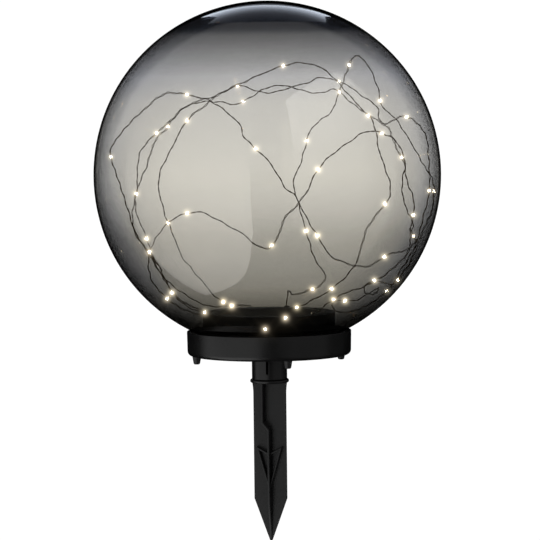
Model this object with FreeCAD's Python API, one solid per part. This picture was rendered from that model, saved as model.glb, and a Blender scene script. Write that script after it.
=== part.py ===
# Solar garden globe on a ground spike: a smoky globe with a string of tiny
# lights inside, on a round base that holds the solar panel, one AA cell, the
# circuit board and the switch, plugged onto a cross-bladed spike.
# Millimetres, +Z up. The origin is on the spike's axis at the underside of its
# collar, which is the soil line.
import FreeCAD, Part
import math
import os

V = FreeCAD.Vector
UP = V(0, 0, 1)

# Common clearances
CUT_OVERRUN = 1.0
FIT_CLEARANCE = 0.25
SLIDE_CLEARANCE = 0.3

# Spike
COLLAR_RADIUS = 16.9
COLLAR_HEIGHT = 3.5
COLLAR_EDGE = 1.1
TUBE_RADIUS = 15.3
TUBE_WALL = 2.0
TUBE_SHOWN = 20.9
PLUG_INSET = 12.5
TUBE_LEAD_IN = 0.8
SLOT_WIDTH = 2.0
SLOT_FOOT = 4.6
SPIKE_TURN = -8.0
BLADE_HALF_WIDTH = 14.1
BLADE_HEAD_HALF_WIDTH = 15.2
BLADE_HEAD_DEPTH = 8.0
BLADE_THICKNESS = 1.9
BLADE_LENGTH = 99.6
POINT_LENGTH = 38.7
POINT_HALF_WIDTH = 0.95
FIN_DEPTH = 12.8
FIN_JOG = 5.4
JOG_START = 33.7
JOG_END = 40.6
BARB_HALF_WIDTH = 10.5
BARB_TIP_DEPTH = 54.9
BARB_ROOT_DEPTH = 59.6
BARB_APEX_DEPTH = 85.0
BARB_STAND = 5.3
BARB_WALL = 1.4

# Base
BASE_RADIUS = 71.25
BASE_DRAFT = 0.45
BASE_HEIGHT = 21.0
BASE_EDGE_RADIUS = 4.0
BASE_WALL = 2.75
COVER_FLOOR = 3.0
COVER_RIM_HEIGHT = 5.0
TONGUE_WALL = 2.0
TONGUE_RISE = 2.8
SOCKET_WALL = 2.0
SOCKET_ROOF = 2.0
RIM_DEPTH = 2.2
DECK_WALL = 2.2
TURRET_INSET = 13.75
TURRET_WALL = 2.0
TURRET_RISE = 16.0
TURRET_EDGE = 0.8

# Globe
GLOBE_RADIUS = 150.0
GLOBE_WALL = 2.0
OPENING_INSET = 12.75
GLOBE_SEAL = 1.0

# Seals
COVER_SEAL_HEIGHT = 1.0
COVER_SEAL_WIDTH = 1.3

# Solar panel
PANEL_INSET = 7.8
PANEL_BACKING = 1.6
CELL_THICKNESS = 0.3
CELL_STACK_SHARE = 0.853
CELL_GAP = 1.0
CELL_COUNT = 6
CELL_EDGE_MARGIN = 4.0
PANEL_COVER = 1.4
PANEL_LEAD_HOLE = 2.5
PANEL_FLOOR = 2.0

# Feet
FOOT_COUNT = 4
FOOT_INSET = 6.75
FOOT_ANGLE = -76.0
FOOT_TOP_RADIUS = 3.8
FOOT_SOLE_RADIUS = 2.9
FOOT_HEIGHT = 6.5
FOOT_EDGE = 0.8
FOOT_STEM_RADIUS = 1.8
FOOT_STEM = 2.4

# Cover screws
COVER_SCREW_COUNT = 4
COVER_SCREW_INSET = 9.75
SCREW_RADIUS = 1.5
SCREW_HEAD_RADIUS = 2.8
SCREW_HEAD_HEIGHT = 1.5
SCREW_SLOT_WIDTH = 0.8
SCREW_SLOT_DEPTH = 0.7
SCREW_BITE = 6.0
BOSS_RADIUS = 3.8
BOSS_GAP = 0.3

# Battery
CELL_RADIUS = 7.25
CELL_LENGTH = 49.0
CELL_BUTTON_RADIUS = 2.75
CELL_BUTTON = 1.5
BATTERY_Y = 33.0
BAY_CLEARANCE = 0.7
BAY_WALL = 1.6
CONTACT_THICKNESS = 0.4
CONTACT_WIDTH = 9.0
CONTACT_BOW = 2.2
DOOR_HALF_LENGTH = 37.0
DOOR_HALF_WIDTH = 10.5
DOOR_CORNER = 3.0
DOOR_THICKNESS = 1.6
DOOR_SEAL = 0.5
DOOR_SEAL_WIDTH = 1.2
DOOR_RIB = 0.9
DOOR_SCREW_X = 33.2
DOOR_SCREW_LENGTH = 6.0
DOOR_BOSS_RISE = 6.5

# Switch
SWITCH_Y = -33.0
SWITCH_HALF_LENGTH = 6.5
SWITCH_HALF_WIDTH = 3.6
SWITCH_HEIGHT = 5.0
SWITCH_PIN = 3.0
SWITCH_PIN_SIZE = 0.8
KNOB_HALF_LENGTH = 2.2
KNOB_HALF_WIDTH = 1.6
KNOB_TRAVEL = 3.0
KNOB_DEPTH = 2.4
DISH_HALF_LENGTH = 8.5
DISH_HALF_WIDTH = 4.6
DISH_DEPTH = 1.6
DISH_CORNER = 2.0

# Circuit board
BOARD_HALF_LENGTH = 22.0
BOARD_HALF_WIDTH = 11.5
BOARD_Y = -35.0
BOARD_THICKNESS = 1.6
BOARD_HEIGHT = 14.0
BOARD_HOLE_X = 18.5
PILLAR_RADIUS = 2.6
CHIP_SIZE = (5.0, 4.0, 1.5)
COIL_SIZE = (7.0, 7.0, 4.0)
CAN_RADIUS = 3.2
CAN_HEIGHT = 7.0
PLUG_SIZE = (8.0, 4.0, 5.0)

# Leads, held inside the base all the way
LEAD_RADIUS = 0.5
LEAD_SIDES = 4
LEAD_RISE = 3.0

# Light wire: twin enamelled copper, run along the globe's inner wall
GROMMET_INSET = 3.8
GROMMET_ANGLE = 72.7
GROMMET_RADIUS = 2.6
GROMMET_BODY_RADIUS = 1.7
GROMMET_HEAD = 1.2
WIRE_RADIUS = 0.4
WIRE_SIDES = 4
ARC_SHARE = 0.45
DROP_LENGTH = 4.6
DROP_RADIUS = 1.35
DROP_TIP_SHARE = 0.35
VIEW_DISTANCE = 2500.0
VIEW_RISE = 79.0
VIEW_ROLL = 0.65
OUTER_LAY = 2.0
MIDDLE_LAY = 4.6
INNER_LAY = 7.6

# Places worked out from the sizes above
TURRET_RADIUS = BASE_RADIUS - TURRET_INSET
OPENING_RADIUS = BASE_RADIUS - OPENING_INSET
PANEL_RADIUS = TURRET_RADIUS - PANEL_INSET
FOOT_CIRCLE = BASE_RADIUS - FOOT_INSET
COVER_SCREW_CIRCLE = BASE_RADIUS - COVER_SCREW_INSET
GROMMET_CIRCLE = TURRET_RADIUS - GROMMET_INSET
TUBE_TOP = COLLAR_HEIGHT + TUBE_SHOWN + PLUG_INSET
BASE_BOTTOM = COLLAR_HEIGHT + TUBE_SHOWN
RIM_TOP = BASE_BOTTOM + BASE_HEIGHT
SEAT_FLOOR = RIM_TOP - RIM_DEPTH
DECK_UNDERSIDE = SEAT_FLOOR - DECK_WALL
TURRET_TOP = RIM_TOP + TURRET_RISE
FLOOR_TOP = BASE_BOTTOM + COVER_FLOOR
COVER_RIM = BASE_BOTTOM + COVER_RIM_HEIGHT
INNER_RADIUS = BASE_RADIUS - BASE_WALL
PANEL_SEAT = TURRET_TOP - PANEL_COVER - CELL_THICKNESS - PANEL_BACKING
GLOBE_EDGE = SEAT_FLOOR + GLOBE_SEAL
GLOBE_INNER = GLOBE_RADIUS - GLOBE_WALL
GLOBE_CENTRE = GLOBE_EDGE + math.sqrt(GLOBE_INNER ** 2 - OPENING_RADIUS ** 2)
GLOBE_FOOT_RADIUS = math.sqrt(GLOBE_RADIUS ** 2 - (GLOBE_CENTRE - GLOBE_EDGE) ** 2)
BOARD_BOTTOM = FLOOR_TOP + BOARD_HEIGHT - BOARD_THICKNESS
BATTERY_AXIS = FLOOR_TOP + CELL_RADIUS + BAY_CLEARANCE
GROMMET_X = GROMMET_CIRCLE * math.cos(math.radians(GROMMET_ANGLE))
GROMMET_Y = GROMMET_CIRCLE * math.sin(math.radians(GROMMET_ANGLE))


# Shape helpers

def turned(outline):
    """Solid of revolution of a closed outline of (radius, height) points."""
    corners = [V(r, 0, z) for r, z in outline]
    wire = Part.makePolygon(corners + corners[:1])
    return Part.Face(wire).revolve(V(0, 0, 0), UP, 360)


def column(x, y, z, radius, height):
    return Part.makeCylinder(radius, height, V(x, y, z))


def block(x0, x1, y0, y1, z0, z1):
    return Part.makeBox(x1 - x0, y1 - y0, z1 - z0, V(x0, y0, z0))


def rounded_block(half_x, half_y, corner, z0, z1, y=0):
    """Upright block with rounded corners, centred on x = 0."""
    body = block(-half_x, half_x, y - half_y, y + half_y, z0, z1)
    upright = [e for e in body.Edges if abs(e.tangentAt(e.FirstParameter).z) > ARC_SHARE]
    return body.makeFillet(corner, upright)


def edges_at(body, radius, height):
    """Round edges of a turned body at one radius and height."""
    found = []
    for edge in body.Edges:
        if not isinstance(edge.Curve, Part.Circle):
            continue
        same_height = abs(edge.Curve.Center.z - height) < FIT_CLEARANCE / 10
        if same_height and abs(edge.Curve.Radius - radius) < FIT_CLEARANCE / 10:
            found.append(edge)
    return found


def around(count, radius, start):
    """Centres evenly spaced on a circle, as (x, y)."""
    places = []
    for i in range(count):
        a = math.radians(start + i * 360.0 / count)
        places.append((radius * math.cos(a), radius * math.sin(a)))
    return places


def plate(outline, half_thickness):
    """Upright plate of an (x, z) outline, centred on y = 0."""
    corners = [V(x, -half_thickness, z) for x, z in outline]
    face = Part.Face(Part.makePolygon(corners + corners[:1]))
    return face.extrude(V(0, 2 * half_thickness, 0))


def save(name, shape):
    shape = shape.removeSplitter() if len(shape.Solids) == 1 else shape
    if not shape.isValid():
        print("not valid:", name)
    shape.exportStep("parts/" + name + ".step")
    print(name, "solids", len(shape.Solids), "volume", round(shape.Volume, 1))


# Paths of straight runs and tangent arcs

def rounded_path(points):
    """Wire through the points with an arc at each, as large as its runs allow."""
    edges = []
    radii = []
    start = points[0]
    for before, corner, after in zip(points, points[1:], points[2:]):
        back = before - corner
        ahead = after - corner
        turn = math.pi - back.getAngle(ahead)
        reach = ARC_SHARE * min(back.Length, ahead.Length)
        radii.append(reach / math.tan(turn / 2))
        entry = corner + back.normalize() * reach
        leave = corner + ahead.normalize() * reach
        middle_way = (entry + leave) * (1 / 2) - corner
        centre = corner + middle_way.normalize() * (radii[-1] / math.cos(turn / 2))
        inward = (corner - centre).normalize() * radii[-1]
        edges.append(Part.LineSegment(start, entry).toShape())
        edges.append(Part.Arc(entry, centre + inward, leave).toShape())
        start = leave
    edges.append(Part.LineSegment(start, points[-1]).toShape())
    return Part.Wire(edges), radii


def tube(points, radius, sides):
    """Faceted tube along the points; its radius is measured to the corners."""
    path, radii = rounded_path(points)
    along = (points[1] - points[0]).normalize()
    across = along.cross(V(1, 0, 0)).normalize()
    other = along.cross(across).normalize()
    corners = []
    for i in range(sides):
        a = 2 * math.pi * i / sides
        corners.append(points[0] + (across * math.cos(a) + other * math.sin(a)) * radius)
    section = Part.makePolygon(corners + corners[:1])
    body = path.makePipeShell([section], True, False)
    area = sides / 2 * math.sin(2 * math.pi / sides) * radius ** 2
    return body, path.Length, area, radii


# Spike

def strip(start, end, thickness, half_stand):
    """Upright wall between two (x, z) points, centred on y = 0."""
    dx, dz = end[0] - start[0], end[1] - start[1]
    length = math.hypot(dx, dz)
    sx, sz = -dz / length * thickness / 2, dx / length * thickness / 2
    outline = [(start[0] + sx, start[1] + sz), (end[0] + sx, end[1] + sz),
               (end[0] - sx, end[1] - sz), (start[0] - sx, start[1] - sz)]
    return plate(outline, half_stand)


def spike_blade():
    """Main blade: a wide head under the collar, parallel sides, then the point."""
    tip = -BLADE_LENGTH - POINT_LENGTH
    head_share = 0.35
    step = BLADE_HEAD_HALF_WIDTH - BLADE_HALF_WIDTH
    right = [(BLADE_HEAD_HALF_WIDTH, 0),
             (BLADE_HALF_WIDTH + step * head_share, -BLADE_HEAD_DEPTH / 2),
             (BLADE_HALF_WIDTH, -BLADE_HEAD_DEPTH),
             (BLADE_HALF_WIDTH, -BLADE_LENGTH),
             (POINT_HALF_WIDTH, tip)]
    left = [(-x, z) for x, z in reversed(right)]
    return plate(right + left, BLADE_THICKNESS / 2)


def spike_fin():
    """Front fin: offset to one side under the collar, then jogged to the middle."""
    half = BLADE_THICKNESS / 2
    tip = -BLADE_LENGTH - POINT_LENGTH
    profile = [(-FIN_JOG - half, 0), (-FIN_JOG + half, 0),
               (-FIN_JOG + half, -JOG_START), (half, -JOG_END),
               (half, tip), (-half, tip), (-half, -JOG_END),
               (-FIN_JOG - half, -JOG_START)]
    corners = [V(x, 0, z) for x, z in profile]
    face = Part.Face(Part.makePolygon(corners + corners[:1]))
    body = face.extrude(V(0, -FIN_DEPTH, 0))
    side = [(0, CUT_OVERRUN), (-FIN_DEPTH, CUT_OVERRUN), (-FIN_DEPTH, -BLADE_LENGTH),
            (-POINT_HALF_WIDTH, tip), (0, tip)]
    corners = [V(-COLLAR_RADIUS, y, z) for y, z in side]
    keep = Part.Face(Part.makePolygon(corners + corners[:1]))
    return body.common(keep.extrude(V(2 * COLLAR_RADIUS, 0, 0)))


def spike_barb():
    """Arrowhead of thin walls that stands on both faces of the blade."""
    walls = []
    for side in (-1, 1):
        tip = (side * BARB_HALF_WIDTH, -BARB_TIP_DEPTH)
        walls.append(strip(tip, (0, -BARB_ROOT_DEPTH), BARB_WALL, BARB_STAND))
        walls.append(strip(tip, (0, -BARB_APEX_DEPTH), BARB_WALL, BARB_STAND))
    return walls[0].fuse(walls[1:])


def spike_plug():
    """Collar and slotted tube that springs into the base's socket."""
    collar = Part.makeCylinder(COLLAR_RADIUS, COLLAR_HEIGHT)
    rims = edges_at(collar, COLLAR_RADIUS, 0) + edges_at(collar, COLLAR_RADIUS, COLLAR_HEIGHT)
    collar = collar.makeChamfer(COLLAR_EDGE, rims)
    height = TUBE_TOP - COLLAR_HEIGHT
    wall = column(0, 0, COLLAR_HEIGHT, TUBE_RADIUS, height)
    wall = wall.makeChamfer(TUBE_LEAD_IN, edges_at(wall, TUBE_RADIUS, TUBE_TOP))
    bore = column(0, 0, COLLAR_HEIGHT, TUBE_RADIUS - TUBE_WALL, height + CUT_OVERRUN)
    foot = COLLAR_HEIGHT + SLOT_FOOT + SLOT_WIDTH / 2
    slot = block(-SLOT_WIDTH / 2, SLOT_WIDTH / 2, -COLLAR_RADIUS, COLLAR_RADIUS,
                 foot, TUBE_TOP + CUT_OVERRUN)
    eye = Part.makeCylinder(SLOT_WIDTH / 2, 2 * COLLAR_RADIUS,
                            V(0, -COLLAR_RADIUS, foot), V(0, 1, 0))
    return collar.fuse(wall.cut(bore).cut(slot.fuse(eye)))


def spike():
    fin = spike_fin()
    other_fin = fin.copy()
    other_fin.rotate(V(0, 0, 0), UP, 180)
    body = spike_blade().fuse([fin, other_fin, spike_barb(), spike_plug()])
    body.rotate(V(0, 0, 0), UP, SPIKE_TURN)
    return body


# Base

def foot_places():
    return around(FOOT_COUNT, FOOT_CIRCLE, FOOT_ANGLE)


def cover_screw_places():
    return around(COVER_SCREW_COUNT, COVER_SCREW_CIRCLE, FOOT_ANGLE + 180 / FOOT_COUNT)


def base_housing():
    """Outer wall, seat groove for the globe and the turret that carries the panel."""
    foot_radius = BASE_RADIUS - BASE_DRAFT * (RIM_TOP - COVER_RIM) / BASE_HEIGHT
    turret_inside = TURRET_RADIUS - TURRET_WALL
    panel_room = PANEL_RADIUS + SLIDE_CLEARANCE
    outline = [(foot_radius, COVER_RIM), (BASE_RADIUS, RIM_TOP), (INNER_RADIUS, RIM_TOP),
               (INNER_RADIUS, SEAT_FLOOR), (TURRET_RADIUS, SEAT_FLOOR),
               (TURRET_RADIUS, TURRET_TOP), (panel_room, TURRET_TOP),
               (panel_room, PANEL_SEAT), (0, PANEL_SEAT), (0, PANEL_SEAT - PANEL_FLOOR),
               (turret_inside, PANEL_SEAT - PANEL_FLOOR), (turret_inside, DECK_UNDERSIDE),
               (INNER_RADIUS, DECK_UNDERSIDE), (INNER_RADIUS, COVER_RIM)]
    body = turned(outline)
    body = body.makeChamfer(TURRET_EDGE, edges_at(body, TURRET_RADIUS, TURRET_TOP))
    boss_foot = FLOOR_TOP + BOSS_GAP
    bosses = [column(x, y, boss_foot, BOSS_RADIUS, DECK_UNDERSIDE - boss_foot)
              for x, y in cover_screw_places()]
    body = body.fuse(bosses)
    holes = [column(x, y, boss_foot - CUT_OVERRUN, SCREW_RADIUS, SCREW_BITE + 2 * CUT_OVERRUN)
             for x, y in cover_screw_places()]
    holes.append(column(0, 0, PANEL_SEAT - PANEL_FLOOR - CUT_OVERRUN, PANEL_LEAD_HOLE,
                        PANEL_FLOOR + 2 * CUT_OVERRUN))
    holes.append(column(GROMMET_X, GROMMET_Y, PANEL_SEAT - PANEL_FLOOR - CUT_OVERRUN,
                        GROMMET_BODY_RADIUS, TURRET_TOP))
    return body.cut(holes)


def cover_shell():
    """Round floor with the rounded bottom edge, its rim and the locating tongue."""
    foot_radius = BASE_RADIUS - BASE_DRAFT * (RIM_TOP - COVER_RIM) / BASE_HEIGHT
    seal_outer = INNER_RADIUS + COVER_SEAL_WIDTH
    tongue = INNER_RADIUS - SLIDE_CLEARANCE
    outline = [(0, BASE_BOTTOM), (BASE_RADIUS - BASE_DRAFT, BASE_BOTTOM),
               (foot_radius, COVER_RIM), (seal_outer, COVER_RIM),
               (seal_outer, COVER_RIM - COVER_SEAL_HEIGHT),
               (tongue, COVER_RIM - COVER_SEAL_HEIGHT), (tongue, COVER_RIM + TONGUE_RISE),
               (tongue - TONGUE_WALL, COVER_RIM + TONGUE_RISE),
               (tongue - TONGUE_WALL, FLOOR_TOP), (0, FLOOR_TOP)]
    body = turned(outline)
    edge = edges_at(body, BASE_RADIUS - BASE_DRAFT, BASE_BOTTOM)
    return body.makeFillet(BASE_EDGE_RADIUS, edge)


def bay_box(grow, z0, z1):
    """The battery bay's space, grown by a wall on every side."""
    half_x = (CELL_LENGTH + CELL_BUTTON) / 2 + CONTACT_BOW + 2 * CONTACT_THICKNESS + grow
    half_y = CELL_RADIUS + BAY_CLEARANCE + grow
    return block(-half_x, half_x, BATTERY_Y - half_y, BATTERY_Y + half_y, z0, z1)


def bay_roof():
    return BATTERY_AXIS + CELL_RADIUS + BAY_CLEARANCE + BAY_WALL


def lead_start():
    """Distance along X from the bay's middle to each battery lead."""
    wall_x = (CELL_LENGTH + CELL_BUTTON) / 2 + CONTACT_BOW + 2 * CONTACT_THICKNESS
    return wall_x - CONTACT_THICKNESS / 2


def bottom_cover():
    """Cover with the spike's socket, battery bay, switch well and pillars."""
    bay_top = bay_roof() - BAY_WALL
    socket_bore = TUBE_RADIUS + FIT_CLEARANCE
    under = BASE_BOTTOM - CUT_OVERRUN
    added = [column(0, 0, BASE_BOTTOM, socket_bore + SOCKET_WALL,
                    TUBE_TOP + SOCKET_ROOF - BASE_BOTTOM),
             bay_box(BAY_WALL, BASE_BOTTOM, bay_top + BAY_WALL)]
    for side in (-1, 1):
        added.append(column(side * DOOR_SCREW_X, BATTERY_Y, BASE_BOTTOM, BOSS_RADIUS,
                            COVER_FLOOR + DOOR_BOSS_RISE))
        added.append(column(side * BOARD_HOLE_X, BOARD_Y, BASE_BOTTOM, PILLAR_RADIUS,
                            BOARD_BOTTOM - BASE_BOTTOM))
    body = cover_shell().fuse(added)
    cuts = [column(0, 0, under, socket_bore, TUBE_TOP - under),
            bay_box(0, under, bay_top),
            rounded_block(DOOR_HALF_LENGTH + FIT_CLEARANCE, DOOR_HALF_WIDTH + FIT_CLEARANCE,
                          DOOR_CORNER, under, BASE_BOTTOM + DOOR_THICKNESS + DOOR_SEAL, BATTERY_Y),
            rounded_block(DISH_HALF_LENGTH, DISH_HALF_WIDTH, DISH_CORNER,
                          under, BASE_BOTTOM + DISH_DEPTH, SWITCH_Y),
            block(-KNOB_HALF_LENGTH - FIT_CLEARANCE,
                  KNOB_HALF_LENGTH + KNOB_TRAVEL + FIT_CLEARANCE,
                  SWITCH_Y - KNOB_HALF_WIDTH - FIT_CLEARANCE,
                  SWITCH_Y + KNOB_HALF_WIDTH + FIT_CLEARANCE, under, FLOOR_TOP + CUT_OVERRUN)]
    for x, y in foot_places():
        cuts.append(column(x, y, under, FOOT_STEM_RADIUS, FOOT_STEM + CUT_OVERRUN))
    for x, y in cover_screw_places():
        cuts.append(column(x, y, under, SCREW_RADIUS, COVER_FLOOR + 2 * CUT_OVERRUN))
        cuts.append(column(x, y, under, SCREW_HEAD_RADIUS + FIT_CLEARANCE,
                           SCREW_HEAD_HEIGHT + CUT_OVERRUN))
    for side in (-1, 1):
        cuts.append(column(side * DOOR_SCREW_X, BATTERY_Y, under, SCREW_RADIUS,
                           DOOR_SCREW_LENGTH + CUT_OVERRUN))
        cuts.append(column(side * lead_start(), BATTERY_Y, bay_top - CUT_OVERRUN,
                           LEAD_RADIUS + FIT_CLEARANCE, BAY_WALL + 2 * CUT_OVERRUN))
        cuts.append(column(side * BOARD_HOLE_X, BOARD_Y, BOARD_BOTTOM - SCREW_BITE,
                           SCREW_RADIUS, SCREW_BITE + CUT_OVERRUN))
    return body.cut(cuts)


def cover_seal():
    height = COVER_RIM - COVER_SEAL_HEIGHT
    outline = [(INNER_RADIUS, height), (INNER_RADIUS + COVER_SEAL_WIDTH, height),
               (INNER_RADIUS + COVER_SEAL_WIDTH, COVER_RIM), (INNER_RADIUS, COVER_RIM)]
    return turned(outline)


def feet():
    foot = turned([(0, BASE_BOTTOM + FOOT_STEM), (0, BASE_BOTTOM - FOOT_HEIGHT),
                   (FOOT_SOLE_RADIUS, BASE_BOTTOM - FOOT_HEIGHT),
                   (FOOT_TOP_RADIUS, BASE_BOTTOM), (FOOT_STEM_RADIUS, BASE_BOTTOM),
                   (FOOT_STEM_RADIUS, BASE_BOTTOM + FOOT_STEM)])
    sole = edges_at(foot, FOOT_SOLE_RADIUS, BASE_BOTTOM - FOOT_HEIGHT)
    foot = foot.makeChamfer(FOOT_EDGE, sole)
    copies = []
    for x, y in foot_places():
        copy = foot.copy()
        copy.translate(V(x, y, 0))
        copies.append(copy)
    return Part.makeCompound(copies)


def screw(x, y, z, length):
    """Slotted pan screw, head down, its head's underside at height z."""
    head = column(x, y, z - SCREW_HEAD_HEIGHT, SCREW_HEAD_RADIUS, SCREW_HEAD_HEIGHT)
    shank = column(x, y, z, SCREW_RADIUS, length)
    groove = block(x - SCREW_HEAD_RADIUS, x + SCREW_HEAD_RADIUS, y - SCREW_SLOT_WIDTH / 2,
                   y + SCREW_SLOT_WIDTH / 2, z - SCREW_HEAD_HEIGHT - CUT_OVERRUN,
                   z - SCREW_HEAD_HEIGHT + SCREW_SLOT_DEPTH)
    return head.fuse(shank).cut(groove)


def cover_screws():
    head_seat = BASE_BOTTOM + SCREW_HEAD_HEIGHT
    length = FLOOR_TOP + BOSS_GAP + SCREW_BITE - head_seat
    return Part.makeCompound([screw(x, y, head_seat, length) for x, y in cover_screw_places()])


# Globe

def globe():
    centre = V(0, 0, GLOBE_CENTRE)
    body = Part.makeSphere(GLOBE_RADIUS, centre).cut(Part.makeSphere(GLOBE_INNER, centre))
    below = block(-GLOBE_RADIUS, GLOBE_RADIUS, -GLOBE_RADIUS, GLOBE_RADIUS,
                  GLOBE_CENTRE - GLOBE_RADIUS - CUT_OVERRUN, GLOBE_EDGE)
    return body.cut(below)


def globe_seal():
    outer = INNER_RADIUS - SLIDE_CLEARANCE
    outline = [(OPENING_RADIUS, SEAT_FLOOR), (outer, SEAT_FLOOR),
               (outer, GLOBE_EDGE), (OPENING_RADIUS, GLOBE_EDGE)]
    return turned(outline)


# Solar panel

def panel_backing():
    body = column(0, 0, PANEL_SEAT, PANEL_RADIUS, PANEL_BACKING)
    return body.cut(column(0, 0, PANEL_SEAT - CUT_OVERRUN, PANEL_LEAD_HOLE / 2,
                           PANEL_BACKING + 2 * CUT_OVERRUN))


def solar_cells():
    """Rows of dark cells as long as the round panel allows."""
    z0 = PANEL_SEAT + PANEL_BACKING
    rows = []
    usable = PANEL_RADIUS - CELL_EDGE_MARGIN
    pitch = 2 * usable * CELL_STACK_SHARE / CELL_COUNT
    width = pitch - CELL_GAP
    for i in range(CELL_COUNT):
        y = (i - (CELL_COUNT - 1) / 2) * pitch
        half = math.sqrt(usable ** 2 - (abs(y) + width / 2) ** 2)
        rows.append(block(-half, half, y - width / 2, y + width / 2,
                          z0, z0 + CELL_THICKNESS))
    return Part.makeCompound(rows)


def panel_cover():
    z0 = TURRET_TOP - PANEL_COVER
    body = column(0, 0, z0, PANEL_RADIUS, PANEL_COVER)
    return body.makeChamfer(CELL_THICKNESS, edges_at(body, PANEL_RADIUS, TURRET_TOP))


# Battery

def battery_cell():
    half = (CELL_LENGTH + CELL_BUTTON) / 2
    start = V(-half, BATTERY_Y, BATTERY_AXIS)
    can = Part.makeCylinder(CELL_RADIUS, CELL_LENGTH, start, V(1, 0, 0))
    button = Part.makeCylinder(CELL_BUTTON_RADIUS, CELL_BUTTON,
                               V(half - CELL_BUTTON, BATTERY_Y, BATTERY_AXIS), V(1, 0, 0))
    return can.fuse(button)


def contact(side):
    """Sheet contact against the bay's end wall, bowed to press on the cell."""
    half = (CELL_LENGTH + CELL_BUTTON) / 2
    wall_x = half + CONTACT_BOW + 2 * CONTACT_THICKNESS
    y0, y1 = BATTERY_Y - CONTACT_WIDTH / 2, BATTERY_Y + CONTACT_WIDTH / 2
    foot = BATTERY_AXIS - CELL_RADIUS
    leaf = [(wall_x, foot), (wall_x, BATTERY_AXIS + CELL_RADIUS),
            (wall_x - CONTACT_THICKNESS, BATTERY_AXIS + CELL_RADIUS),
            (wall_x - CONTACT_THICKNESS, BATTERY_AXIS + CONTACT_WIDTH / 2),
            (half, BATTERY_AXIS + CONTACT_BOW / 2), (half, BATTERY_AXIS - CONTACT_BOW / 2),
            (wall_x - CONTACT_THICKNESS, BATTERY_AXIS - CONTACT_WIDTH / 2),
            (wall_x - CONTACT_THICKNESS, foot)]
    corners = [V(side * x, y0, z) for x, z in leaf]
    face = Part.Face(Part.makePolygon(corners + corners[:1]))
    return face.extrude(V(0, y1 - y0, 0))


def battery_door():
    """Flat door, flush with the underside, with a rib frame that enters the bay."""
    z1 = BASE_BOTTOM + DOOR_THICKNESS
    body = rounded_block(DOOR_HALF_LENGTH, DOOR_HALF_WIDTH, DOOR_CORNER,
                         BASE_BOTTOM, z1, BATTERY_Y)
    rib = bay_box(-FIT_CLEARANCE, z1, z1 + DOOR_SEAL + DOOR_RIB)
    rib = rib.cut(bay_box(-FIT_CLEARANCE - DOOR_SEAL_WIDTH, z1, z1 + DOOR_THICKNESS))
    body = body.fuse(rib)
    under = BASE_BOTTOM - CUT_OVERRUN
    cuts = []
    for side in (-1, 1):
        x = side * DOOR_SCREW_X
        cuts.append(column(x, BATTERY_Y, under, SCREW_RADIUS + FIT_CLEARANCE,
                           DOOR_THICKNESS + 2 * CUT_OVERRUN))
        cuts.append(column(x, BATTERY_Y, under, SCREW_HEAD_RADIUS + FIT_CLEARANCE,
                           SCREW_HEAD_HEIGHT / 2 + CUT_OVERRUN))
    return body.cut(cuts)


def door_seal():
    z0 = BASE_BOTTOM + DOOR_THICKNESS
    outer = rounded_block(DOOR_HALF_LENGTH, DOOR_HALF_WIDTH, DOOR_CORNER,
                          z0, z0 + DOOR_SEAL, BATTERY_Y)
    inner = rounded_block(DOOR_HALF_LENGTH - DOOR_SEAL_WIDTH, DOOR_HALF_WIDTH - DOOR_SEAL_WIDTH,
                          DOOR_CORNER - DOOR_SEAL_WIDTH, z0, z0 + DOOR_SEAL, BATTERY_Y)
    return outer.cut(inner)


def door_screws():
    head_seat = BASE_BOTTOM + SCREW_HEAD_HEIGHT / 2
    places = (-DOOR_SCREW_X, DOOR_SCREW_X)
    length = DOOR_SCREW_LENGTH - SCREW_HEAD_HEIGHT / 2
    return Part.makeCompound([screw(x, BATTERY_Y, head_seat, length) for x in places])


# Switch and circuit board

def switch_body():
    box = block(-SWITCH_HALF_LENGTH, SWITCH_HALF_LENGTH, SWITCH_Y - SWITCH_HALF_WIDTH,
                SWITCH_Y + SWITCH_HALF_WIDTH, FLOOR_TOP, FLOOR_TOP + SWITCH_HEIGHT)
    track = block(-KNOB_HALF_LENGTH - FIT_CLEARANCE,
                  KNOB_HALF_LENGTH + KNOB_TRAVEL + FIT_CLEARANCE,
                  SWITCH_Y - KNOB_HALF_WIDTH - FIT_CLEARANCE,
                  SWITCH_Y + KNOB_HALF_WIDTH + FIT_CLEARANCE,
                  FLOOR_TOP - CUT_OVERRUN, FLOOR_TOP + SWITCH_HEIGHT / 2)
    pins = []
    for share in (-1, 0, 1):
        x = share * SWITCH_HALF_LENGTH / 2
        top = FLOOR_TOP + SWITCH_HEIGHT
        pins.append(block(x - SWITCH_PIN_SIZE / 2, x + SWITCH_PIN_SIZE / 2,
                          SWITCH_Y - SWITCH_PIN_SIZE / 2, SWITCH_Y + SWITCH_PIN_SIZE / 2,
                          top - CUT_OVERRUN, top + SWITCH_PIN))
    return box.cut(track).fuse(pins)


def switch_knob():
    """Knob with three grip grooves, in its OFF place."""
    top = FLOOR_TOP + SWITCH_HEIGHT / 2
    foot = FLOOR_TOP - KNOB_DEPTH
    body = block(-KNOB_HALF_LENGTH, KNOB_HALF_LENGTH, SWITCH_Y - KNOB_HALF_WIDTH,
                 SWITCH_Y + KNOB_HALF_WIDTH, foot, top)
    grooves = []
    width = KNOB_HALF_LENGTH / 4
    for share in (-1, 0, 1):
        x = share * KNOB_HALF_LENGTH / 2
        grooves.append(block(x - width / 2, x + width / 2, SWITCH_Y - KNOB_HALF_WIDTH,
                             SWITCH_Y + KNOB_HALF_WIDTH, foot - CUT_OVERRUN, foot + width))
    return body.cut(grooves)


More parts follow.
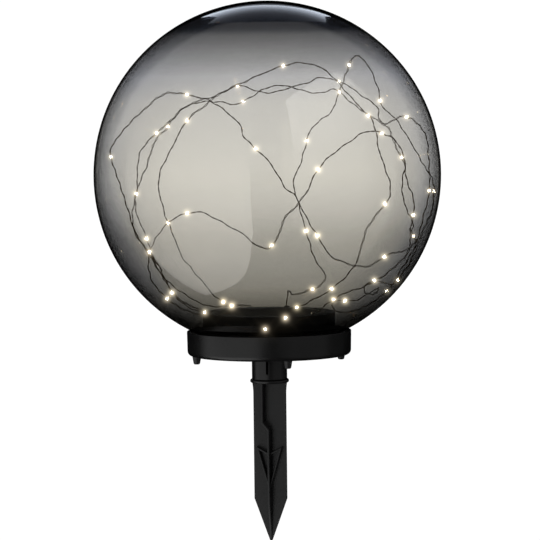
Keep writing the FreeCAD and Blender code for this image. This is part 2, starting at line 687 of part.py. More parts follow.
def circuit_board():
    body = block(-BOARD_HALF_LENGTH, BOARD_HALF_LENGTH, BOARD_Y - BOARD_HALF_WIDTH,
                 BOARD_Y + BOARD_HALF_WIDTH, BOARD_BOTTOM, BOARD_BOTTOM + BOARD_THICKNESS)
    holes = [column(side * BOARD_HOLE_X, BOARD_Y, BOARD_BOTTOM - CUT_OVERRUN,
                    SCREW_RADIUS + FIT_CLEARANCE, BOARD_THICKNESS + 2 * CUT_OVERRUN)
             for side in (-1, 1)]
    return body.cut(holes)


def on_board(size, x, y):
    top = BOARD_BOTTOM + BOARD_THICKNESS
    return block(x - size[0] / 2, x + size[0] / 2, y - size[1] / 2, y + size[1] / 2,
                 top, top + size[2])


def board_parts():
    """Driver chip, choke, capacitor and the plug for the leads."""
    top = BOARD_BOTTOM + BOARD_THICKNESS
    quarter_x, quarter_y = BOARD_HALF_LENGTH / 2, BOARD_HALF_WIDTH / 2
    return Part.makeCompound([on_board(CHIP_SIZE, 0, BOARD_Y - quarter_y),
                              on_board(COIL_SIZE, -quarter_x, BOARD_Y + quarter_y / 2),
                              column(quarter_x, BOARD_Y - quarter_y, top, CAN_RADIUS, CAN_HEIGHT),
                              on_board(PLUG_SIZE, 0, BOARD_Y + quarter_y)])


def board_screws():
    """Two screws, heads up, that hold the board on its pillars."""
    seat = BOARD_BOTTOM + BOARD_THICKNESS
    copies = []
    for side in (-1, 1):
        body = screw(side * BOARD_HOLE_X, BOARD_Y, seat, SCREW_BITE)
        body.rotate(V(side * BOARD_HOLE_X, BOARD_Y, seat), V(1, 0, 0), 180)
        copies.append(body)
    return Part.makeCompound(copies)


# Leads inside the base

def leads(routes):
    return Part.makeCompound([tube(route, LEAD_RADIUS, LEAD_SIDES)[0] for route in routes])


def plug_top(x):
    """A lead's place on top of the board's plug."""
    y = BOARD_Y + BOARD_HALF_WIDTH / 2
    return V(x, y, BOARD_BOTTOM + BOARD_THICKNESS + PLUG_SIZE[2])


def panel_leads():
    """From the panel's underside, down through the turret floor to the plug."""
    routes = []
    for side in (-1, 1):
        x = side * 2 * LEAD_RADIUS
        end = plug_top(side * PLUG_SIZE[0] / 8)
        roof = PANEL_SEAT - PANEL_FLOOR
        routes.append([V(x, 0, PANEL_SEAT), V(x, 0, (roof + PANEL_SEAT) / 2 - PANEL_FLOOR),
                       V(x, end.y * ARC_SHARE, roof - 2 * PANEL_FLOOR),
                       V(end.x, end.y, end.z + 2 * PANEL_FLOOR), end])
    return leads(routes)


def battery_leads():
    """From each sheet contact's head, over the bay and the socket to the plug."""
    routes = []
    for side in (-1, 1):
        end = plug_top(side * PLUG_SIZE[0] * 3 / 8)
        start = V(side * lead_start(), BATTERY_Y, BATTERY_AXIS + CELL_RADIUS)
        over = bay_roof() + LEAD_RISE
        routes.append([start, start + V(0, 0, over - start.z),
                       V(side * lead_start() * ARC_SHARE, 0, over + LEAD_RADIUS),
                       V(end.x, end.y, end.z + 2 * PANEL_FLOOR), end])
    return leads(routes)


# Light wire

def grommet():
    """Rubber bush in the turret's rim, where the light wire comes out."""
    head = column(GROMMET_X, GROMMET_Y, TURRET_TOP, GROMMET_RADIUS, GROMMET_HEAD)
    head = head.makeChamfer(GROMMET_HEAD / 2, edges_at(head, GROMMET_RADIUS,
                                                       TURRET_TOP + GROMMET_HEAD))
    roof = PANEL_SEAT - PANEL_FLOOR
    return head.fuse(column(GROMMET_X, GROMMET_Y, roof, GROMMET_BODY_RADIUS, TURRET_TOP - roof))


# Route of the light wire. Each stretch lies on the front (-1) or back (+1) wall
# at one distance from it, and its points are written as (across, up, light) as
# they are seen from the front, where the eye is rolled a little, against the
# plane through the globe's centre; a light sits on the run that starts at a
# point marked 1. A stretch marked 0 has
# points in space, (x, y, z, light), from the globe's centre.
GROMMET_EXIT = TURRET_TOP + GROMMET_HEAD - GLOBE_CENTRE
WIRE_ROUTE = (
    (0, 0, ((GROMMET_X, GROMMET_Y, GROMMET_EXIT, 0), (GROMMET_X, GROMMET_Y, -109.5, 0),
            (18, 66, -104, 0))),
    (1, OUTER_LAY, (
        (22, -105, 0), (33, -101, 1), (45, -97, 0), (51, -91, 0), (49, -83, 0),
        (42, -75.5, 0), (39, -67, 0), (36, -57, 1), (31, -40, 0),
        (26, -21, 0), (21, -6, 0), (28, 7, 0), (32, 21, 1), (36, 38, 0), (44, 46, 0),
        (57, 55, 0), (60, 67, 0), (66, 82, 0), (68, 88, 1), (73, 102, 0), (79, 103, 0),
        (87, 95, 0), (93, 82, 0), (96.5, 71, 1), (98.5, 57, 0), (109, 52, 0),
        (126, 25, 0), (137, 5, 0), (144.3, -4.5, 1), (143.9, -23.5, 0))),
    (-1, OUTER_LAY, (
        (142, -33, 0), (136, -45, 0), (131, -58, 0), (125.5, -73, 0), (117, -85.5, 1),
        (109, -96.5, 0), (96, -91, 0), (82, -98, 0), (70, -101, 0), (63, -104.5, 1), (52, -111.5, 0),
        (41, -121, 0), (28, -126, 0), (17, -134, 0), (5, -134.5, 1), (-8.5, -133.5, 0),
        (-22, -134, 0), (-38, -130, 0), (-49, -122.5, 1), (-60, -115.5, 0),
        (-72, -111.5, 0), (-84, -99.5, 0), (-91, -85, 0), (-97, -72.5, 1), (-107, -61, 0),
        (-114, -53, 0), (-118, -38, 0), (-124, -19, 0), (-129.5, -2, 0), (-133.5, 9, 1),
        (-136.5, 22, 0), (-128, 34, 0), (-117, 47, 0), (-103, 59, 0), (-92, 69.5, 0),
        (-79, 71.5, 1), (-59.5, 67, 0), (-48, 64, 0), (-32, 52, 0), (-22, 42, 0),
        (-21, 33, 0), (-15, 27, 1), (-5, 18, 0), (4, 9, 0), (12, -6, 0), (17, -13, 0),
        (25, -18, 0), (31, -32, 0), (39, -46, 1), (47.5, -59, 0), (53, -70, 0),
        (66, -76, 0), (80, -80, 0), (91, -78.5, 0), (96, -74.5, 1), (106.5, -67.5, 0))),
    (-1, INNER_LAY, ((117, -67, 0), (125, -62, 0))),
    (0, 0, ((129, -5, -57, 0),)),
    (1, INNER_LAY, (
        (128.5, -56, 1), (124.5, -50, 0), (127, -42, 0), (121, -32, 0), (116.5, -17, 0),
        (116.5, -3, 0), (119.5, 7, 0), (118, 12, 1), (114, 18, 0), (108.5, 30, 0),
        (106, 40, 0), (93, 48.5, 0), (79, 57, 0), (67, 67, 1), (57.5, 76, 0), (49, 70, 0),
        (33, 71.5, 0), (20, 76.5, 0), (5, 77.5, 0), (-7, 72, 0), (-14, 67, 1), (-28, 59.5, 0),
        (-38, 63, 0), (-56, 63.5, 0), (-71, 59.5, 0), (-80, 50, 0), (-83, 45.5, 1),
        (-88.5, 38, 0), (-95, 33, 0), (-100, 22, 0), (-104, 7, 0), (-109.5, -4, 0),
        (-111.5, -10.5, 1), (-114.8, -22.5, 0), (-117, -34, 0), (-116, -47, 0),
        (-108, -60, 0), (-99.5, -74, 0), (-91.5, -87, 0), (-85.5, -97, 1), (-79, -107, 0),
        (-67, -116, 0), (-50, -121, 0), (-30, -123, 0), (-17, -122.5, 0), (-11, -118, 0))),
    (1, MIDDLE_LAY, (
        (-14, -113.5, 0), (-24, -113, 1), (-38, -114.2, 0), (-53, -114, 0), (-66, -107, 0),
        (-80, -98, 0), (-92, -87, 0), (-99.5, -72, 0), (-102, -63, 1), (-107, -47.5, 0),
        (-112, -38, 0), (-115, -24, 0), (-112, -8, 0), (-112.5, 8, 0), (-109.5, 22, 0),
        (-100, 32, 1), (-91.5, 40, 0), (-84, 46, 0), (-74, 57, 0), (-60, 64, 0),
        (-45, 67.5, 0), (-31, 75.5, 1), (-20, 77.7, 0), (-10, 71.5, 0), (6, 70.5, 0),
        (21, 76, 0), (36, 79.5, 0), (46, 85, 0), (55, 82.5, 1), (68.5, 78.5, 0),
        (76, 72, 0), (89, 63.5, 0), (97, 57.5, 0), (95, 49, 0), (101, 43, 0), (109, 47, 0),
        (115, 51.5, 1), (125.5, 48.5, 0), (133, 41, 0), (138, 33, 0), (139, 20, 0),
        (140, 5, 0), (140.5, -6, 1), (139.5, -21, 0), (136, -31, 0), (133, -45, 0),
        (129, -60, 0), (122, -73, 0), (113, -86, 0), (108.5, -96, 1), (99, -105, 0),
        (87, -113, 0), (74, -119, 0), (62, -119.5, 0), (54.5, -114, 0), (60, -108, 1),
        (75, -110, 0), (88, -103, 0))),
    (0, 0, ((97, 4, -97.5, 0),)),
    (-1, MIDDLE_LAY, (
        (94, -104, 0), (84, -103, 0), (83, -95.5, 1), (102, -87.5, 0),
        (107, -82, 0), (118, -73, 0), (124, -64, 0), (123.5, -50, 0), (125, -41, 1),
        (127.5, -28.5, 0), (125.5, -16, 0), (119.5, -4, 0), (119.5, 10, 0), (115, 25, 0),
        (107, 33, 0), (103, 34.5, 1), (95, 37.5, 0), (84, 38, 0), (71, 28.5, 0),
        (58, 19.5, 0), (47.5, 10, 1), (40, -1, 0), (34, -16, 0), (25, -27, 0),
        (13.5, -38.5, 0), (11, -49, 0), (8, -57, 1), (0, -65.5, 0), (-10, -61, 0),
        (-22, -50, 0), (-37, -42.5, 0), (-52, -33.5, 0), (-62, -31.5, 1), (-76.5, -35, 0),
        (-86, -41, 0), (-95, -52, 0), (-101.5, -64, 0), (-103.5, -78, 0), (-101, -91, 0),
        (-94, -100, 0), (-90.5, -103.5, 1), (-83, -110.5, 0))),
    (-1, INNER_LAY, (
        (-75, -115.5, 0), (-64, -120, 0), (-50, -122, 0), (-38, -121, 0), (-30.5, -118, 0),
        (-32, -112.5, 1), (-44, -107.5, 0), (-54, -95, 0), (-66, -81, 0), (-75, -70, 0),
        (-80, -55, 0), (-83.5, -47, 1), (-88, -36, 0), (-92, -22, 0), (-95, -7, 0),
        (-91, 8, 0), (-83, 21.5, 0), (-77, 35, 0), (-72, 42.5, 1), (-66.5, 51, 0),
        (-58, 56, 0), (-47, 66, 0), (-33, 74.5, 0), (-18, 81, 0), (-6, 86.5, 0),
        (6, 91.5, 1), (21, 96.5, 0), (36, 96.5, 0), (50, 91, 0), (61, 80, 0), (72, 67, 0),
        (82, 56.5, 1), (92, 46, 0), (94, 36, 0), (96, 22, 0), (101, 8, 0), (106, -6, 0),
        (107, -17, 0), (104.5, -21, 1), (99, -29.5, 0), (91, -38, 0), (83.5, -52, 0),
        (80.5, -67, 0), (75, -81, 0), (61, -95, 1), (51, -102.5, 0), (40, -108, 0),
        (30.5, -112.8, 1), (20.7, -116.8, 0), (18, -121, 1), (14, -126.5, 0), (7, -129, 0))),
)


def seen_on_wall(across, up, side, lay):
    """Point of the globe's wall on the line of sight through (across, up)."""
    roll = FreeCAD.Rotation(V(0, 1, 0), VIEW_ROLL)
    eye = V(0, -VIEW_DISTANCE, VIEW_RISE)
    look = roll.multVec(V(across, 0, up)) - eye
    radius = GLOBE_INNER - lay
    a = look.dot(look)
    b = eye.dot(look)
    c = eye.dot(eye) - radius ** 2
    inside = max(b * b - a * c, 0)
    return eye + look * ((-b + side * math.sqrt(inside)) / a)


def wire_points():
    """The route's points and the first point of each run that carries a light."""
    points, lights = [], []
    for side, lay, stretch in WIRE_ROUTE:
        for row in stretch:
            if side == 0:
                place = V(row[0], row[1], row[2])
            else:
                place = seen_on_wall(row[0], row[1], side, lay)
            if row[-1]:
                lights.append(len(points))
            points.append(place + V(0, 0, GLOBE_CENTRE))
    return points, lights


def light_wire(points):
    body, length, area, radii = tube(points, WIRE_RADIUS, WIRE_SIDES)
    print("light wire: length", round(length, 1), "smallest radius", round(min(radii), 2),
          "volume over section times length", round(body.Volume / area / length, 4))
    print("radii", [round(r, 1) for r in radii])
    runs = [(b - a).Length for a, b in zip(points, points[1:])]
    print("runs", [round(r, 1) for r in runs])
    return body


def led_drops(points, lights):
    """A clear bead moulded round each light, on the middle of its run."""
    tip = DROP_RADIUS * DROP_TIP_SHARE
    rings = []
    for radius, height in ((tip, -DROP_LENGTH / 2), (DROP_RADIUS, 0), (tip, DROP_LENGTH / 2)):
        corners = [V(radius * math.cos(a), radius * math.sin(a), height)
                   for a in (0, math.pi / 2, math.pi, 3 * math.pi / 2)]
        rings.append(Part.makePolygon(corners + corners[:1]))
    bead = Part.makeLoft(rings, True, True)
    copies = []
    for i in lights:
        start, end = points[i], points[i + 1]
        copy = bead.copy()
        copy.Placement = FreeCAD.Placement((start + end) * (1 / 2),
                                           FreeCAD.Rotation(UP, end - start))
        copies.append(copy)
    return Part.makeCompound(copies)


def main():
    os.makedirs("parts", exist_ok=True)
    points, lights = wire_points()
    print("lights", len(lights), "points", len(points))
    pieces = {
        "spike": spike(), "bottom_cover": bottom_cover(), "base_housing": base_housing(),
        "cover_seal": cover_seal(), "feet": feet(), "cover_screws": cover_screws(),
        "globe": globe(), "globe_seal": globe_seal(), "panel_backing": panel_backing(),
        "solar_cells": solar_cells(), "panel_cover": panel_cover(),
        "battery_cell": battery_cell(), "contact_plus": contact(1),
        "contact_minus": contact(-1), "battery_door": battery_door(),
        "door_seal": door_seal(), "door_screws": door_screws(),
        "switch_body": switch_body(), "switch_knob": switch_knob(),
        "circuit_board": circuit_board(), "board_parts": board_parts(),
        "board_screws": board_screws(), "panel_leads": panel_leads(),
        "battery_leads": battery_leads(), "wire_grommet": grommet(),
        "light_wire": light_wire(points), "led_drops": led_drops(points, lights),
    }
    for name, shape in pieces.items():
        save(name, shape)


main()
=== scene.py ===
import math
import bpy
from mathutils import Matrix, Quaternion, Vector


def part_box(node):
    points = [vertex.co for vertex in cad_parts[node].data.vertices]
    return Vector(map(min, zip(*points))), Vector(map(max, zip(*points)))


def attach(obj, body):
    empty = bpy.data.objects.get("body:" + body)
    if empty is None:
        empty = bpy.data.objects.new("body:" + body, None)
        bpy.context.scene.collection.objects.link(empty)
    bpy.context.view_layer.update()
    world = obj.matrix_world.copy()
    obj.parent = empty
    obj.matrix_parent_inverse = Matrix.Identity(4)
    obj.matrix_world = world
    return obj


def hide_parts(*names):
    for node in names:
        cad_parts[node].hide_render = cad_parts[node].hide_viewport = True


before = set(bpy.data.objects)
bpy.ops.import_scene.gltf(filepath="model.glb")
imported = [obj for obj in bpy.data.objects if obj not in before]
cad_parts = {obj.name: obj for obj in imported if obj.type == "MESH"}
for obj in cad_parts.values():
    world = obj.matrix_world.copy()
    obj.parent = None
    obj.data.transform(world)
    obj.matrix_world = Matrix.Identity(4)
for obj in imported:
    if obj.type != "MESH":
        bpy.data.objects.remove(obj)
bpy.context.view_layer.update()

bl_info = {
    "name": "Solar Globe Spike Light",
    "version": (1, 0, 0),
    "blender": (4, 5, 0),
    "location": "View3D > Sidebar > Globe Light",
    "description": "Builds a smoky garden globe with a wound string of lights on a spike",
    "category": "Object",
}

# Places read from the frame
GLOBE_LOW, GLOBE_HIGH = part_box("globe")
HOUSING_LOW, HOUSING_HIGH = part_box("base_housing")
SPIKE_LOW, SPIKE_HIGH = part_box("spike")
FEET_LOW, FEET_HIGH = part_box("feet")
BUSH_LOW, BUSH_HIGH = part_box("wire_grommet")
COVER_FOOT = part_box("bottom_cover")[0][2]
GLOBE_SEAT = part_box("globe_seal")[0][2]
PANEL_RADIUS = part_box("panel_cover")[1][0]
PANEL_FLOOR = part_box("panel_backing")[0][2]

GLOBE_RADIUS = 0.150
GLOBE_WALL = 0.002
CENTRE = Vector((0, 0, GLOBE_HIGH[2] - GLOBE_RADIUS))
GROMMET = ((BUSH_LOW[0] + BUSH_HIGH[0]) / 2, (BUSH_LOW[1] + BUSH_HIGH[1]) / 2,
           BUSH_HIGH[2] - CENTRE.z)
FLOOR = SPIKE_LOW[2] - 0.0004

# Distance within which points are one, and the angle past which an edge is sharp
WELD = 1e-6
SHARP = 35

# Where the photograph's camera stands, seen from the globe's centre, and how it frames
VIEW_DISTANCE = 2.5
VIEW_RISE = 0.079
VIEW_ROLL = 0.65
FRAME_WIDTH = 0.4676
FRAME_MIDDLE = (0.0014, 0, -0.0824)
SENSOR_WIDTH = 36
CLIP_START, CLIP_END = 0.05, 60

# Distances of the wire's three layers from the globe's inner wall
OUTER_LAY = 0.0020
MIDDLE_LAY = 0.0046
INNER_LAY = 0.0076

# Lengths of the wire's small bends, in two directions across it
KINK_ASIDE = 0.0137
KINK_OUT = 0.0193

# Where a bead narrows: (share of its length from its middle, share of the width left)
NARROWING = ((0.22, 0.86), (0.36, 0.70))

# A chip's side and the thickness of its skin, as shares of the bead's width
CHIP_SIDE = 0.55
CHIP_SKIN = 1 / 14

# Share of the blade head's extra width that is left halfway down it
HEAD_TAPER = 0.35

# How many times finer a moulded surface's grain is than its clouds
CLOUD_TO_GRAIN = 60

# Studio: the floor's size and place, its bend into the backdrop, where its painted
# shade turns from grey in front to white, and how high the cards reach over the globe's centre
SWEEP_SIZE = 8
SWEEP_MIDDLE = -1
SWEEP_BACK = 2.9
SWEEP_HEIGHT = 4
SWEEP_BEND = 1.2
PAINTED_FALLOFF_FRONT, PAINTED_FALLOFF_BACK = -0.9, -0.03
CARD_RISE = 1.2
WALL_REACH = 2.2

# The overhead card: its outline from above and the stretch over which its light
# grows, in shares of its height over the globe's centre, then its tint and its
# brightness along the stretch, as (share of the way, value)
OVERHEAD_CARD = (
    (-0.394, 0.939), (-0.236, 0.617), (-0.12, 0.515), (0, 0.483), (0.12, 0.515), (0.236, 0.617),
    (0.414, 1.007), (0.393, 1.519), (0.442, 2.0), (-0.435, 2.0), (-0.318, 1.141))
OVERHEAD_NEAR, OVERHEAD_FAR = 0.5, 2.2
OVERHEAD_TINT = (0.86, 0.96, 1.14)
OVERHEAD_LIGHT = (
    (0, 0.015), (0.11, 0.14), (0.207, 0.25), (0.267, 0.42), (0.34, 0.74), (0.382, 1.0),
    (0.43, 1.35), (0.485, 1.6), (0.548, 2.1), (0.716, 3.0), (0.88, 3.6))

# The upright cards: name, a place and a direction seen from above, the outline as
# (distance along the direction, height over the globe's centre), and the brightness
# from below to above
WALL_CARDS = (
    ("left_card", (-1.26, -0.81), (0.54, -0.84), (
        (1.58, 2.2), (1.58, -1.5), (1.5, -1.75), (1.31, -2.48), (1.1, -2.98), (0.85, -3.39),
        (0.5, -3.68), (0.14, -3.87), (-1.58, -4.0), (-1.58, 2.2)),
     ((0.136, 1.25), (0.25, 1.0), (0.43, 0.55), (1.0, 0.4))),
    ("right_card", (1.3, -0.75), (-0.5, -0.866), (
        (1.4, 2.4), (1.4, -1.18), (0.668, -1.38), (-0.026, -1.92), (-0.85, -1.3), (-0.85, 2.4)),
     ((0.07, 0.16), (0.5, 0.2), (0.77, 1.0), (1.0, 1.3))),
)

# The coating's clearness, as (share, brightness, warmth): by height over the globe's
# foot, towards the outline on the inner and the outer wall, and on the lower sides. The
# darkening at the top and bottom and on the lower sides is painted shade, standing in
# for reflections of a dark ceiling and floor.
SMOKE_AND_PAINTED_SHADE = (
    (0.0, 0.30, 0.04), (0.075, 0.50, 0.035), (0.11, 0.64, 0.03), (0.15, 0.775, 0.027),
    (0.21, 0.815, 0.02), (0.31, 0.87, 0.02), (0.37, 0.93, 0.017), (0.44, 0.975, 0.016),
    (0.5, 1, 0.016), (0.71, 0.975, 0.01), (0.785, 0.93), (0.857, 0.78), (0.905, 0.64))
# The crown's dark blue-grey is painted shade, standing in for a reflected dark ceiling
CROWN_PAINTED_SHADE = ((0.922, (0.40, 0.415, 0.44, 1)), (1.0, (0.38, 0.395, 0.42, 1)))
TOWARDS_EDGE = (
    (0.0, 0.93), (0.16, 0.918), (0.27, 0.895), (0.48, 0.87, -0.004), (0.60, 0.85, -0.008),
    (0.69, 0.825, -0.012), (0.77, 0.785, -0.012))
INNER_EDGE = ((0.86, 0.68, -0.012), (0.91, 0.55), (0.96, 0.33), (1.0, 0.1))
OUTER_EDGE = ((0.83, 0.72, -0.012), (0.85, 0.10), (1.0, 0))
FLANK_PAINTED_SHADE = (
    (0.30, 1), (0.43, 0.93), (0.50, 0.895, -0.005), (0.57, 0.85, -0.01), (0.75, 0.80, -0.01))
FLANK_SHADE_SHARE = ((0.31, 1), (0.5, 0.3), (0.64, 0))

# How much further towards the outline the outer wall's crown is taken to be
CROWN_TURN = ((0.9, 0), (1.0, 0.09))

# How much the coating mirrors towards the outline, against face on
MIRROR = ((0.0, 1), (0.55, 1), (0.72, 2.2), (0.84, 3.5), (0.86, 0.5), (1.0, 0))

# Strength of the chips, as (share of the globe's height, share of the strength)
CHIP_LIGHT = (
    (0.05, 1), (0.09, 0.42), (0.12, 0.30), (0.16, 0.25), (0.25, 0.15), (0.4, 0.09), (0.5, 0.067),
    (0.8, 0.083))

# Brightness of the surroundings from below to above, and from front to back
TENT_RISE = ((0.42, 0.015), (0.50, 0.035), (0.60, 0.30), (1.0, 0.42))
TENT_BACK = ((0.0, 0.9), (0.5, 1), (0.78, 1), (0.82, 0.06), (1.0, 0.04))

# The lens: how bright a light has to be to show a halo, a bloom or a star
BRIGHT = 1.3
HALO_PIXELS = 6
HALO_SHARE = 0.45
BLOOM = {"Threshold": BRIGHT, "Strength": 0.4, "Size": 0.045}
STREAKS = {"Threshold": 3.0, "Strength": 0.035, "Streaks": 4, "Streaks Angle": 0.785,
           "Iterations": 2, "Fade": 0.7, "Color Modulation": 0.0}

# Route of the light wire. Each stretch lies on the front (-1) or back (+1) wall at
# one distance from it. Its points are written as (across, up): where they are seen
# from the front, in a plane through the globe's centre that is turned by VIEW_ROLL
# as the camera is. A light, marked by a third value of 1, sits on the run that
# starts at its point. A stretch marked 0 has points in space, (x, y, z), from the
# globe's centre.
WIRE_ROUTE = (
    (0, 0, (
        (GROMMET[0], GROMMET[1], GROMMET[2]), (GROMMET[0], GROMMET[1], -.1095),
        (.018, .066, -.104),)),
    (1, OUTER_LAY, (
        (.022, -.105), (.033, -.101, 1), (.045, -.097), (.051, -.091), (.049, -.083),
        (.042, -.0755), (.039, -.067), (.036, -.057, 1), (.031, -.04), (.026, -.021),
        (.021, -.006), (.028, .007), (.032, .021, 1), (.036, .038), (.044, .046), (.057, .055),
        (.06, .067), (.066, .082), (.068, .088, 1), (.073, .102), (.079, .103), (.087, .095),
        (.093, .082), (.0965, .071, 1), (.0985, .057), (.109, .052), (.126, .025), (.137, .005),
        (.1443, -.0045, 1), (.1439, -.0235),)),
    (-1, OUTER_LAY, (
        (.142, -.033), (.136, -.045), (.131, -.058), (.1255, -.073), (.117, -.0855, 1),
        (.109, -.0965), (.096, -.091), (.082, -.098), (.07, -.101), (.063, -.1045, 1),
        (.052, -.1115), (.041, -.121), (.028, -.126), (.017, -.134), (.005, -.1345, 1),
        (-.0085, -.1335), (-.022, -.134), (-.038, -.13), (-.049, -.1225, 1), (-.06, -.1155),
        (-.072, -.1115), (-.084, -.0995), (-.091, -.085), (-.097, -.0725, 1), (-.107, -.061),
        (-.114, -.053), (-.118, -.038), (-.124, -.019), (-.1295, -.002), (-.1335, .009, 1),
        (-.1365, .022), (-.128, .034), (-.117, .047), (-.103, .059), (-.092, .0695),
        (-.079, .0715, 1), (-.0595, .067), (-.048, .064), (-.032, .052), (-.022, .042),
        (-.021, .033), (-.015, .027, 1), (-.005, .018), (.004, .009), (.012, -.006), (.017, -.013),
        (.025, -.018), (.031, -.032), (.039, -.046, 1), (.0475, -.059), (.053, -.07),
        (.066, -.076), (.08, -.08), (.091, -.0785), (.096, -.0745, 1), (.1065, -.0675),)),
    (-1, INNER_LAY, (
        (.117, -.067), (.125, -.062),)),
    (0, 0, (
        (.129, -.005, -.057),)),
    (1, INNER_LAY, (
        (.1285, -.056, 1), (.1245, -.05), (.127, -.042), (.121, -.032), (.1165, -.017),
        (.1165, -.003), (.1195, .007), (.118, .012, 1), (.114, .018), (.1085, .03), (.106, .04),
        (.093, .0485), (.079, .057), (.067, .067, 1), (.0575, .076), (.049, .07), (.033, .0715),
        (.02, .0765), (.005, .0775), (-.007, .072), (-.014, .067, 1), (-.028, .0595),
        (-.038, .063), (-.056, .0635), (-.071, .0595), (-.08, .05), (-.083, .0455, 1),
        (-.0885, .038), (-.095, .033), (-.1, .022), (-.104, .007), (-.1095, -.004),
        (-.1115, -.0105, 1), (-.1148, -.0225), (-.117, -.034), (-.116, -.047), (-.108, -.06),
        (-.0995, -.074), (-.0915, -.087), (-.0855, -.097, 1), (-.079, -.107), (-.067, -.116),
        (-.05, -.121), (-.03, -.123), (-.017, -.1225), (-.011, -.118),)),
    (1, MIDDLE_LAY, (
        (-.014, -.1135), (-.024, -.113, 1), (-.038, -.1142), (-.053, -.114), (-.066, -.107),
        (-.08, -.098), (-.092, -.087), (-.0995, -.072), (-.102, -.063, 1), (-.107, -.0475),
        (-.112, -.038), (-.115, -.024), (-.112, -.008), (-.1125, .008), (-.1095, .022),
        (-.1, .032, 1), (-.0915, .04), (-.084, .046), (-.074, .057), (-.06, .064), (-.045, .0675),
        (-.031, .0755, 1), (-.02, .0777), (-.01, .0715), (.006, .0705), (.021, .076),
        (.036, .0795), (.046, .085), (.055, .0825, 1), (.0685, .0785), (.076, .072), (.089, .0635),
        (.097, .0575), (.095, .049), (.101, .043), (.109, .047), (.115, .0515, 1), (.1255, .0485),
        (.133, .041), (.138, .033), (.139, .02), (.14, .005), (.1405, -.006, 1), (.1395, -.021),
        (.136, -.031), (.133, -.045), (.129, -.06), (.122, -.073), (.113, -.086),
        (.1085, -.096, 1), (.099, -.105), (.087, -.113), (.074, -.119), (.062, -.1195),
        (.0545, -.114), (.06, -.108, 1), (.075, -.11), (.088, -.103),)),
    (0, 0, (
        (.097, .004, -.0975),)),
    (-1, MIDDLE_LAY, (
        (.094, -.104), (.084, -.103), (.083, -.0955, 1), (.102, -.0875), (.107, -.082),
        (.118, -.073), (.124, -.064), (.1235, -.05), (.125, -.041, 1), (.1275, -.0285),
        (.1255, -.016), (.1195, -.004), (.1195, .01), (.115, .025), (.107, .033), (.103, .0345, 1),
        (.095, .0375), (.084, .038), (.071, .0285), (.058, .0195), (.0475, .01, 1), (.04, -.001),
        (.034, -.016), (.025, -.027), (.0135, -.0385), (.011, -.049), (.008, -.057, 1),
        (0, -.0655), (-.01, -.061), (-.022, -.05), (-.037, -.0425), (-.052, -.0335),
        (-.062, -.0315, 1), (-.0765, -.035), (-.086, -.041), (-.095, -.052), (-.1015, -.064),
        (-.1035, -.078), (-.101, -.091), (-.094, -.1), (-.0905, -.1035, 1), (-.083, -.1105),)),
    (-1, INNER_LAY, (
        (-.075, -.1155), (-.064, -.12), (-.05, -.122), (-.038, -.121), (-.0305, -.118),
        (-.032, -.1125, 1), (-.044, -.1075), (-.054, -.095), (-.066, -.081), (-.075, -.07),
        (-.08, -.055), (-.0835, -.047, 1), (-.088, -.036), (-.092, -.022), (-.095, -.007),
        (-.091, .008), (-.083, .0215), (-.077, .035), (-.072, .0425, 1), (-.0665, .051),
        (-.058, .056), (-.047, .066), (-.033, .0745), (-.018, .081), (-.006, .0865),
        (.006, .0915, 1), (.021, .0965), (.036, .0965), (.05, .091), (.061, .08), (.072, .067),
        (.082, .0565, 1), (.092, .046), (.094, .036), (.096, .022), (.101, .008), (.106, -.006),
        (.107, -.017), (.1045, -.021, 1), (.099, -.0295), (.091, -.038), (.0835, -.052),
        (.0805, -.067), (.075, -.081), (.061, -.095, 1), (.051, -.1025), (.04, -.108),
        (.0305, -.1128, 1), (.0207, -.1168), (.018, -.121, 1), (.014, -.1265), (.007, -.129),)),
)


# Selecting and shaping

def only(obj=None):
    bpy.ops.object.select_all(action="DESELECT")
    if obj is not None:
        obj.select_set(True)
        bpy.context.view_layer.objects.active = obj


def edit(obj):
    """Open one object in edit mode with all of it selected."""
    only(obj)
    bpy.ops.object.mode_set(mode="EDIT")
    bpy.ops.mesh.select_all(action="SELECT")


def edit_chosen(obj, chosen):
    """Open an object in edit mode with the vertices chosen by place, and what they span."""
    leave_edit()
    mesh = obj.data
    for vertex in mesh.vertices:
        vertex.select = chosen(vertex.co)
    for part in (*mesh.edges, *mesh.polygons):
        part.select = all(mesh.vertices[i].select for i in part.vertices)
    bpy.ops.object.mode_set(mode="EDIT")


def weld(distance=WELD):
    """Merge what lies in one place, and leave everything selected."""
    bpy.ops.mesh.select_all(action="SELECT")
    bpy.ops.mesh.remove_doubles(threshold=distance)


def face_outwards():
    bpy.ops.mesh.select_all(action="SELECT")
    bpy.ops.mesh.normals_make_consistent(inside=False)


def pushed(step):
    """Extrude what is selected."""
    bpy.ops.mesh.extrude_region_move(TRANSFORM_OT_translate={"value": step})


def leave_edit():
    bpy.ops.object.mode_set(mode="OBJECT")


def done(obj):
    """Leave edit mode and put the object's place, turn and scale into its mesh."""
    if obj.mode == "EDIT":
        leave_edit()
    only(obj)
    bpy.ops.object.transform_apply(location=True, rotation=True, scale=True)
    return obj


def name_piece(name):
    obj = bpy.context.object
    obj.name = obj.data.name = name
    return obj


def linked(name, data):
    """A new object of some data in the scene."""
    obj = bpy.data.objects.new(name, data)
    bpy.context.scene.collection.objects.link(obj)
    return obj


def copies_of(piece, count):
    """Copies of a piece, each with its own mesh, in place of the piece."""
    copies = [linked(piece.name, piece.data.copy()) for _ in range(count)]
    bpy.data.objects.remove(piece)
    return copies


def joined(name, pieces):
    """One object of several, their places put into its mesh."""
    only(pieces[0])
    for piece in pieces:
        piece.select_set(True)
    bpy.ops.object.join()
    return done(name_piece(name))


def add_modifier(obj, kind, **values):
    only(obj)
    modifier = obj.modifiers.new(kind.title(), kind)
    for key, value in values.items():
        setattr(modifier, key, value)
    bpy.ops.object.modifier_apply(modifier=modifier.name)


